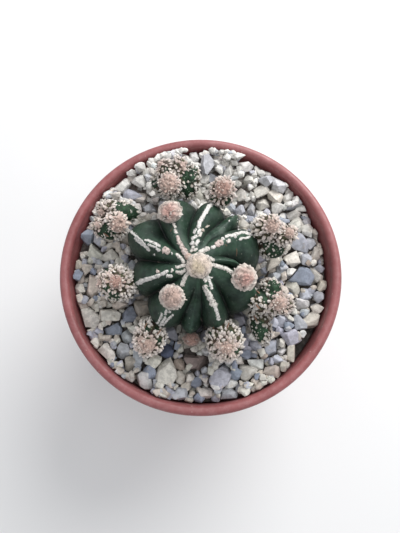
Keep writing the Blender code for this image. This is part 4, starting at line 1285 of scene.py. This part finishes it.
stoneTones = dict(cream=(0.61, 0.57, 0.50), beige=(0.53, 0.47, 0.40), pale=(0.70, 0.68, 0.64),
                  lilac=(0.42, 0.415, 0.46), grey=(0.40, 0.405, 0.42), slate=(0.26, 0.285, 0.34),
                  blue=(0.085, 0.10, 0.155), taupe=(0.21, 0.165, 0.145), tan=(0.34, 0.275, 0.225))
stoneShares = dict(cream=0.36, beige=0.22, pale=0.1, lilac=0.13, grey=0.1, slate=0.07, taupe=0.01, tan=0.01)
# Some of these set painted light and shade on the stones: paler on the far side, darker at the left, towards
# the near side and in the stem's shadow
gravelShape = dict(cell=0.3, half=40.5, wall=39.1, top=63.6, raised=4.3, size=(1.5, 2.7), small=(1.2, 1.9),
                   under=(1.0, 1.5), sink=0.45, press=0.8, deepPress=1.3, planes=12, seed=77, bevel=0.38,
                   roughen=0.07, pixel=0.345, upper=1.8, cast=(0.97, 0.99, 1.01), palest=(0.69, 0.67, 0.63),
                   farStonesPaintedLight=0.22, nearPaintedShade=0.13, leftPaintedShade=0.04, stemShade=0.6, farFrom=(4, 32),
                   nearFrom=(18, 34), leftFrom=(8, 34), stemFrom=(25, 17), stemReach=27, headroom=2.5,
                   farEven=0.45, evenTone=(0.50, 0.475, 0.45), lowerStonesPaintedLight=0.5, gapPixel=0.28,
                   heapFrom=(16, 33), heapOut=(26, 36), nearHeap=0.35)
# Stones picked out in the picture: pixel, half lengths in pixels, turn in degrees and tone
namedStones = [
    (193, 154, 6, 4.5, 80, "pale"), (206, 161, 11, 6, 72, "lilac"), (217, 158, 6, 4, 45, "pale"),
    (185, 156, 3.5, 3, 0, "cream"), (246, 164, 7, 5, 10, "pale"), (229, 168, 6, 4, 60, "pale"),
    (261, 168, 5, 3, -20, "cream"), (249, 176, 6, 4, 0, "cream"), (266, 176, 8, 4.5, 0, "grey"),
    (278, 182, 9, 6, -40, "lilac"), (262, 188, 8, 5, 0, "cream"), (242, 193, 8, 5, 80, "cream"),
    (276, 194, 9, 5, -35, "beige"), (289, 194, 6, 4.5, 40, "cream"), (263, 202, 6, 5, 20, "beige"),
    (277, 206, 7, 6, 60, "cream"), (251, 208, 7, 4, 90, "grey"), (240, 208, 6, 5, 80, "lilac"),
    (231, 207, 5, 4.5, 0, "slate"), (294, 213, 8, 5, 0, "cream"), (302, 206, 6, 3, 10, "pale"),
    (194, 192, 9, 6, -35, "beige"), (204, 177, 6, 5, 90, "cream"), (212, 175, 6, 5, 0, "slate"),
    (310, 218, 6, 4, 80, "grey"), (297, 223, 8, 6, 70, "cream"), (308, 227, 6, 5, 60, "cream"),
    (300, 240, 8, 7.5, 0, "lilac"), (312, 241, 6, 5, -60, "grey"), (317, 252, 7, 5, 80, "beige"),
    (293, 259, 9, 5, -20, "cream"), (323, 267, 4.5, 4, 0, "lilac"), (305, 276, 10, 8, 80, "slate"),
    (318, 276, 6, 4, -35, "cream"), (325, 285, 7, 5, 70, "beige"), (294, 284, 8, 6, -60, "cream"),
    (305, 294, 7, 4, 60, "lilac"), (320, 296, 6, 5, 30, "grey"), (304, 301, 9, 4, 0, "pale"),
    (319, 307, 6, 5, 0, "cream"), (314, 322, 10, 5.5, -10, "beige"), (300, 322, 8, 5, -60, "grey"),
    (292, 337, 10, 6.5, -25, "lilac"), (272, 347, 8, 6, 90, "lilac"), (284, 351, 4.5, 3, 40, "pale"),
    (293, 353, 10, 4.5, 75, "beige"), (277, 374, 10, 5, -15, "beige"), (257, 363, 8, 5, -10, "pale"),
    (247, 373, 9, 5, 55, "cream"), (237, 374, 6, 5, 60, "slate"), (220, 379, 12, 8.5, 10, "lilac"),
    (232, 385, 7, 3.5, 35, "pale"), (230, 396, 9, 5, 0, "grey"), (207, 393, 7, 4, -30, "cream"),
    (201, 398, 6, 4, 0, "slate"), (182, 394, 7, 5, 0, "grey"), (186, 387, 6, 3, 30, "beige"),
    (190, 377, 5.5, 4, 90, "cream"), (181, 377, 6, 5, 90, "cream"), (197, 384, 6, 4, 20, "slate"),
    (192, 361, 9, 5, -45, "taupe"), (180, 364, 7, 4.5, -30, "tan"), (200, 362, 8, 4, 75, "taupe"),
    (168, 352, 7, 6, 80, "blue"), (167, 375, 10, 8.5, 0, "cream"), (155, 362, 8, 5.5, 30, "cream"),
    (150, 374, 6, 5, 0, "slate"), (143, 381, 9, 6, -60, "pale"), (170, 332, 7, 5, 0, "lilac"),
    (120, 184, 10, 5, 40, "pale"), (138, 178, 6.5, 6, 0, "pale"), (128, 192, 6.5, 6, 0, "slate"),
    (139, 196, 8, 5, 20, "beige"), (149, 208, 6, 5, 0, "lilac"), (87, 236, 8, 6, 80, "slate"),
    (93, 252, 7, 5, 80, "cream"), (109, 257, 8, 4.5, 20, "cream"), (125, 239, 7, 5, -45, "beige"),
    (92, 286, 13, 5, 88, "beige"), (78, 289, 7, 4.5, -55, "cream"), (90, 318, 12, 6, -50, "cream"),
    (110, 315, 10, 6, -15, "cream"), (130, 315, 8, 6, 80, "slate"), (142, 308, 8, 6, 80, "beige"),
    (113, 328, 9, 4.5, 30, "slate"), (108, 352, 9, 5.5, -50, "cream"), (123, 352, 8, 5, 40, "grey"),
    (127, 337, 6, 5, 90, "grey"), (138, 358, 9, 5, 75, "grey"), (130, 364, 8, 4, 50, "beige"),
]
# Gaps where no stone lies: pixel and radius in pixels
gravelGaps = (
    (329, 236, 3.5), (331, 244, 4), (332, 252, 4.5), (331, 260, 3.5), (333, 268, 2.5), (316, 331, 4),
    (311, 339, 6), (306, 348, 6), (301, 357, 4), (76, 256, 3), (79, 246, 3), (104, 363, 3.5),
    (187, 351, 2.5), (100, 191, 3), (131, 256, 2.5), (152, 159, 3.5), (160, 153, 3.5), (168, 149, 3.5),
    (144, 165, 2.5), (207, 148, 2.5),
)


def shapeStone(rng, half):
    # Flat faces all round, set by a ball squashed to the half lengths
    count = int(gravelShape["planes"] + rng.integers(-2, 3))
    step = np.arange(count)
    ball = ballPoints(1 - 2 * (step + 0.5) / count, spiralTurn(step))
    ways = unit(ball + rng.normal(0, 0.3, (count, 3)))
    ways = ways @ turnTo(rng.normal(size=3)).T
    reach = np.linalg.norm(ways * half, axis=1) * rng.uniform(0.72, 1.02, count)
    return ways, reach


def stoneMesh(ways, reach, bevel, bevelSteps):
    # The solid between the faces: its corners come from the hull of their poles, its edges are worn round
    hull = bmesh.new()
    for way, distance in zip(ways, reach):
        hull.verts.new(way / distance)
    bmesh.ops.convex_hull(hull, input=hull.verts[:])
    bmesh.ops.triangulate(hull, faces=hull.faces[:])
    corners = []
    for face in hull.faces:
        poles = np.array([vert.co for vert in face.verts])
        if abs(np.linalg.det(poles)) > 1e-9:
            corners.append(np.linalg.solve(poles, np.ones(3)))
    hull.free()
    bm = bmesh.new()
    for corner in corners:
        bm.verts.new(corner)
    bmesh.ops.remove_doubles(bm, verts=bm.verts[:], dist=0.06)
    made = bmesh.ops.convex_hull(bm, input=bm.verts[:])
    inner = made["geom_interior"] + made["geom_unused"]
    loose = {item for item in inner if isinstance(item, bmesh.types.BMVert)}
    bmesh.ops.delete(bm, geom=list(loose), context="VERTS")
    bmesh.ops.dissolve_limit(bm, angle_limit=math.radians(4), verts=bm.verts[:], edges=bm.edges[:])
    bmesh.ops.bevel(bm, geom=bm.edges[:], offset=bevel, segments=bevelSteps, profile=0.6, affect="EDGES",
                    clamp_overlap=True)
    bmesh.ops.triangulate(bm, faces=bm.faces[:])
    bm.verts.index_update()
    points = np.array([vert.co[:] for vert in bm.verts])
    faces = np.array([[vert.index for vert in face.verts] for face in bm.faces])
    bm.free()
    return points, faces


def turnStone(ways, yaw, tilt):
    cosine, sine = math.cos(yaw), math.sin(yaw)
    spin = np.array(((cosine, -sine, 0), (sine, cosine, 0), (0, 0, 1)))
    lean = np.array(Matrix.Rotation(tilt[0], 3, "X") @ Matrix.Rotation(tilt[1], 3, "Y"))
    return ways @ (lean @ spin).T


def makeGravel():
    g = gravelShape
    rng = np.random.default_rng(g["seed"])
    cells = int(2 * g["half"] / g["cell"])
    centres = (np.arange(cells) + 0.5) * g["cell"] - g["half"]
    gridX, gridY = np.meshgrid(centres, centres, indexing="ij")
    far = np.hypot(gridX, gridY)
    ground = np.where(far < g["wall"], bedShape["top"], outOfReach)
    ceiling = np.full_like(ground, outOfReach)
    hub = axisAt(60)
    near = np.hypot(gridX - hub[0], gridY - hub[1]) < g["stemReach"]
    for i, j in zip(*np.nonzero(near)):
        ceiling[i, j] = ceilingAt(gridX[i, j], gridY[i, j]) - 0.25
    ground = np.where(ceiling < g["top"] - g["headroom"], outOfReach, ground)
    for px, py, wide in gravelGaps:
        x, y, _ = pixelAt(px, py, g["top"] + 2)
        ground = np.where(np.hypot(gridX - x, gridY - y) < wide * g["gapPixel"], outOfReach, ground)
    piled = np.maximum(ramp(gridY, *g["heapFrom"]), g["nearHeap"] * ramp(-gridY, *g["heapFrom"]))
    # The stones lie higher against the wall, most of all at the far side
    wanted = g["top"] + g["raised"] * ramp(far, *g["heapOut"]) * piled
    stones = []

    def settle(ways, reach, x, y, floor, lid, sink):
        # Lets a stone down on the floor here, pressed in a little: its height and its cells' new heights
        span = int(np.max(reach) * 1.25 / g["cell"]) + 1
        i, j = int((x + g["half"]) / g["cell"]), int((y + g["half"]) / g["cell"])
        if min(i, j) - span < 0 or max(i, j) + span >= cells:
            return None
        area = (slice(i - span, i + span + 1), slice(j - span, j + span + 1))
        dx, dy = gridX[area] - x, gridY[area] - y
        high, low = np.full_like(dx, 1e3), np.full_like(dx, -1e3)
        for (a, b, c), d in zip(ways, reach):
            rest = d - a * dx - b * dy
            if c > 0.03:
                high = np.minimum(high, rest / c)
            elif c < -0.03:
                low = np.maximum(low, rest / c)
            else:
                high = np.where(rest < 0, -1e3, high)
        covered = high > low
        if not covered.any():
            return None
        lift = np.max(np.where(covered, floor[area] - low, -1e3)) - sink
        top = lift + high
        if lift > 500 or np.any(covered & ((top > lid[area]) | (top > wanted[area] + g["upper"]))):
            return None
        return lift, area, covered, top

    def lay(half, x, y, tone, layer, tries, yaw=None, roam=0.8, floor=None, lid=None, sink=g["sink"]):
        best = None
        for _ in range(tries):
            ways, reach = shapeStone(rng, np.array(half))
            turn = rng.uniform(0, math.tau) if yaw is None else yaw
            turned = turnStone(ways, turn, rng.normal(0, 0.28, 2))
            for _ in range(3):
                spot = (x + rng.normal(0, roam), y + rng.normal(0, roam))
                result = settle(turned, reach, *spot, ground if floor is None else floor,
                                ceiling if lid is None else lid, sink)
                if result and (best is None or result[0] < best[0][0]):
                    best = (result, turned, reach, spot)
        if best is None:
            return False
        (lift, area, covered, top), ways, reach, spot = best
        ground[area] = np.where(covered, np.maximum(ground[area], top), ground[area])
        if lid is not None:
            ceiling[area] = np.where(covered, np.minimum(ceiling[area], top + 0.35), ceiling[area])
        stones.append((ways, reach, np.array((spot[0], spot[1], lift)), tone, layer))
        return True

    names, shares = list(stoneShares), np.array(list(stoneShares.values()))
    shares = shares / shares.sum()

    def anyHalf(low, high):
        size = rng.uniform(low, high)
        return size, size * rng.uniform(0.5, 0.85), size * rng.uniform(0.42, 0.62)

    def place(x, y, half, tone, layer, tries, roam, sink=g["sink"]):
        # Beside the wall a stone lies along it
        away, yaw = math.hypot(x, y), None
        limit = g["wall"] - half[1] * 0.9
        if away > limit - 1:
            reach = min(away, limit) / away
            x, y, roam = x * reach, y * reach, 0.3
            yaw = math.atan2(y, x) + math.pi / 2 + rng.normal(0, 0.25)
        return lay(half, x, y, tone, layer, tries, yaw=yaw, roam=roam, sink=sink)

    def fill(level, sizes, box, rounds, sink, shrinks, layer):
        # Drops stones on the lowest spots until none lies deeper than the level
        blocked = np.zeros_like(ground)
        for _ in range(rounds):
            low = np.where(ground < 500, ground + g["top"] - wanted, 80) + blocked
            mean = low.copy()
            mean[box:-box, box:-box] = (low[box:-box, box:-box] * 2 + low[:-2 * box, box:-box]
                                        + low[2 * box:, box:-box] + low[box:-box, :-2 * box]
                                        + low[box:-box, 2 * box:]) / 6
            mean = np.where(low < 70, np.minimum(mean, low + 1.5), 80)
            i, j = np.unravel_index(np.argmin(mean + rng.normal(0, 0.2, mean.shape)), mean.shape)
            if mean[i, j] > g["top"] + level:
                break
            tone = stoneTones[rng.choice(names, p=shares)]
            half = anyHalf(*sizes)
            before = ground[i, j]
            around = (slice(max(i - 2, 0), i + 3), slice(max(j - 2, 0), j + 3))
            for shrink in shrinks:
                if place(gridX[i, j], gridY[i, j], np.array(half) * shrink, tone, layer, 3, 0.6, sink):
                    break
            else:
                blocked[around] += 3
            if ground[i, j] <= before:
                blocked[around] += 1.2

    for px, py, _, _, _, _ in namedStones:
        x, y, _ = pixelAt(px, py, g["top"])
        heaped = wanted[int((x + g["half"]) / g["cell"]), int((y + g["half"]) / g["cell"])] - g["top"]
        for _ in range(1 + round(heaped / 1.3)):
            half, tone = anyHalf(*g["under"]), stoneTones[rng.choice(names, p=shares)]
            place(x * 0.97, y * 0.97, half, tone, 0, 3, 0.5)
    print("lower stones laid", len(stones))
    under, over = np.maximum(ground, wanted - 3.3), ceiling.copy()
    for px, py, a, b, angle, toneName in namedStones:
        spot = pixelAt(px, py, g["top"])[:2]
        cell = tuple(((spot + g["half"]) / g["cell"]).astype(int))
        spot = pixelAt(px, py, wanted[cell])[:2]
        half = np.array((a, b, b * 0.8)) * g["pixel"]
        for step in range(6):
            x, y = spot * (1 - 0.008 * step)
            smaller = half * (1 - 0.04 * step)
            if lay(smaller, x, y, stoneTones[toneName], 1, 5, math.radians(angle), 0.1, under, over):
                break
        else:
            print("no room for the stone at", px, py)
    fill(-0.3, g["size"], 4, 1500, g["press"], (1, 0.85, 0.7), 1)
    print("upper stones laid", len(stones))
    fill(-1.6, g["small"], 2, 600, g["deepPress"], (1, 0.8), 0)
    print("stones laid", len(stones))
    lower, upper = [], []
    for ways, reach, middle, tone, layer in stones:
        body, faces = stoneMesh(ways, reach, g["bevel"] * rng.uniform(0.6, 1.3), 1 + layer)
        body = body * (1 + lumps(body + middle, 0.9, 8) * g["roughen"])[:, None]
        # Painted light and shade: the stones are paler on the far side and darker at the left, towards the
        # near side and in the stem's shadow, and the lower ones are paler on the far side so that the gaps
        # look lit
        far = ramp(middle[1], *g["farFrom"])
        stonePaintedLight = 1.04 + g["farStonesPaintedLight"] * far
        stonePaintedLight -= g["leftPaintedShade"] * ramp(-middle[0], *g["leftFrom"])
        stonePaintedLight -= g["nearPaintedShade"] * ramp(0.5 * middle[0] - middle[1], *g["nearFrom"])
        fromStem = middle - axisAt(middle[2])
        if fromStem[1] < 0:
            stonePaintedLight *= 1 - g["stemShade"] * ramp(np.hypot(*fromStem[:2]), *g["stemFrom"])
        even = np.array(tone) + (np.array(g["evenTone"]) - tone) * g["farEven"] * far
        stonePaintedLight *= 1 if layer else 1 + g["lowerStonesPaintedLight"] * far
        varied = even * g["cast"] * stonePaintedLight * rng.uniform(0.86, 1.12) * rng.uniform(0.98, 1.02, 3)
        varied = np.minimum(varied, g["palest"])
        (upper if layer else lower).append((middle + body, faces, varied))
    makePiece("gravelBelow", lower, "stone", "gravel", "gravel")
    halfway = len(upper) // 2
    makePiece("gravelTop", upper[:halfway], "stone", "gravel", "gravel")
    makePiece("gravelLoose", upper[halfway:], "stone", "gravel", "gravel")


makeGravel()


soilLook = dict(damp=(0.020, 0.014, 0.011, 1), dry=(0.075, 0.052, 0.038, 1), chips=(0.30, 0.27, 0.24, 1))


def dressSoil():
    # The soil body keeps the solid's own mesh, in a finish of its own
    made, tree, sockets = newMaterial("pottingSoil", {"Specular IOR Level": 0.3})
    clouds = maskOf(tree, "mottle", Size=1.6, Detail=7.0, Low=0.35, High=0.65)
    colour = blendColours(tree, clouds, soilLook["damp"], soilLook["dry"])
    bits = maskOf(tree, "specks", Size=1.1, Spot=0.2, Share=0.2)
    colour = blendColours(tree, bits, colour, soilLook["chips"])
    finishSurface(tree, sockets, colour, between(tree, clouds, 0.8, 1.0), (1.2, 0.2, 0.5), 1.0, 0.6)
    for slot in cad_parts["soil"].material_slots:
        slot.material = made


dressSoil()


lightShape = dict(key=dict(place=(0.19, 0.29, 0.34), size=0.36, power=2.45),
                  fill=dict(place=(0.1, -0.1, 0.8), size=0.5, power=1.0),
                  aim=(0, 0, 0.06), sky=0.7, skyColour=(0.93, 0.95, 1.0, 1),
                  floorColour=(0.72, 0.72, 0.71, 1))


def makeFloor():
    bm = bmesh.new()
    bmesh.ops.create_grid(bm, x_segments=1, y_segments=1, size=3)
    floor = objectFrom(bm, "floor")
    constants = {"Base Color": lightShape["floorColour"], "Roughness": 0.8}
    floor.data.materials.append(newMaterial("paleFloor", constants)[0])


def makeLamp(title, lamp):
    light = bpy.data.lights.new(title, "AREA")
    light.shape = "DISK"
    light.size = lamp["size"]
    light.energy = lamp["power"]
    holder = bpy.data.objects.new(title, light)
    holder.location = lamp["place"]
    aim = Vector(lightShape["aim"]) - holder.location
    holder.rotation_euler = aim.to_track_quat("-Z", "Y").to_euler()
    bpy.context.scene.collection.objects.link(holder)


def makeRoom():
    makeFloor()
    makeLamp("keyLight", lightShape["key"])
    makeLamp("fillLight", lightShape["fill"])
    world = bpy.data.worlds.new("studio")
    world.use_nodes = True
    sky = world.node_tree.nodes["Background"].inputs
    sky["Color"].default_value = lightShape["skyColour"]
    sky["Strength"].default_value = lightShape["sky"]
    bpy.context.scene.world = world
    bpy.context.scene.view_settings.view_transform = "Standard"


makeRoom()
print("room set")

print("triangles in all", sum(triangleCounts.values()))
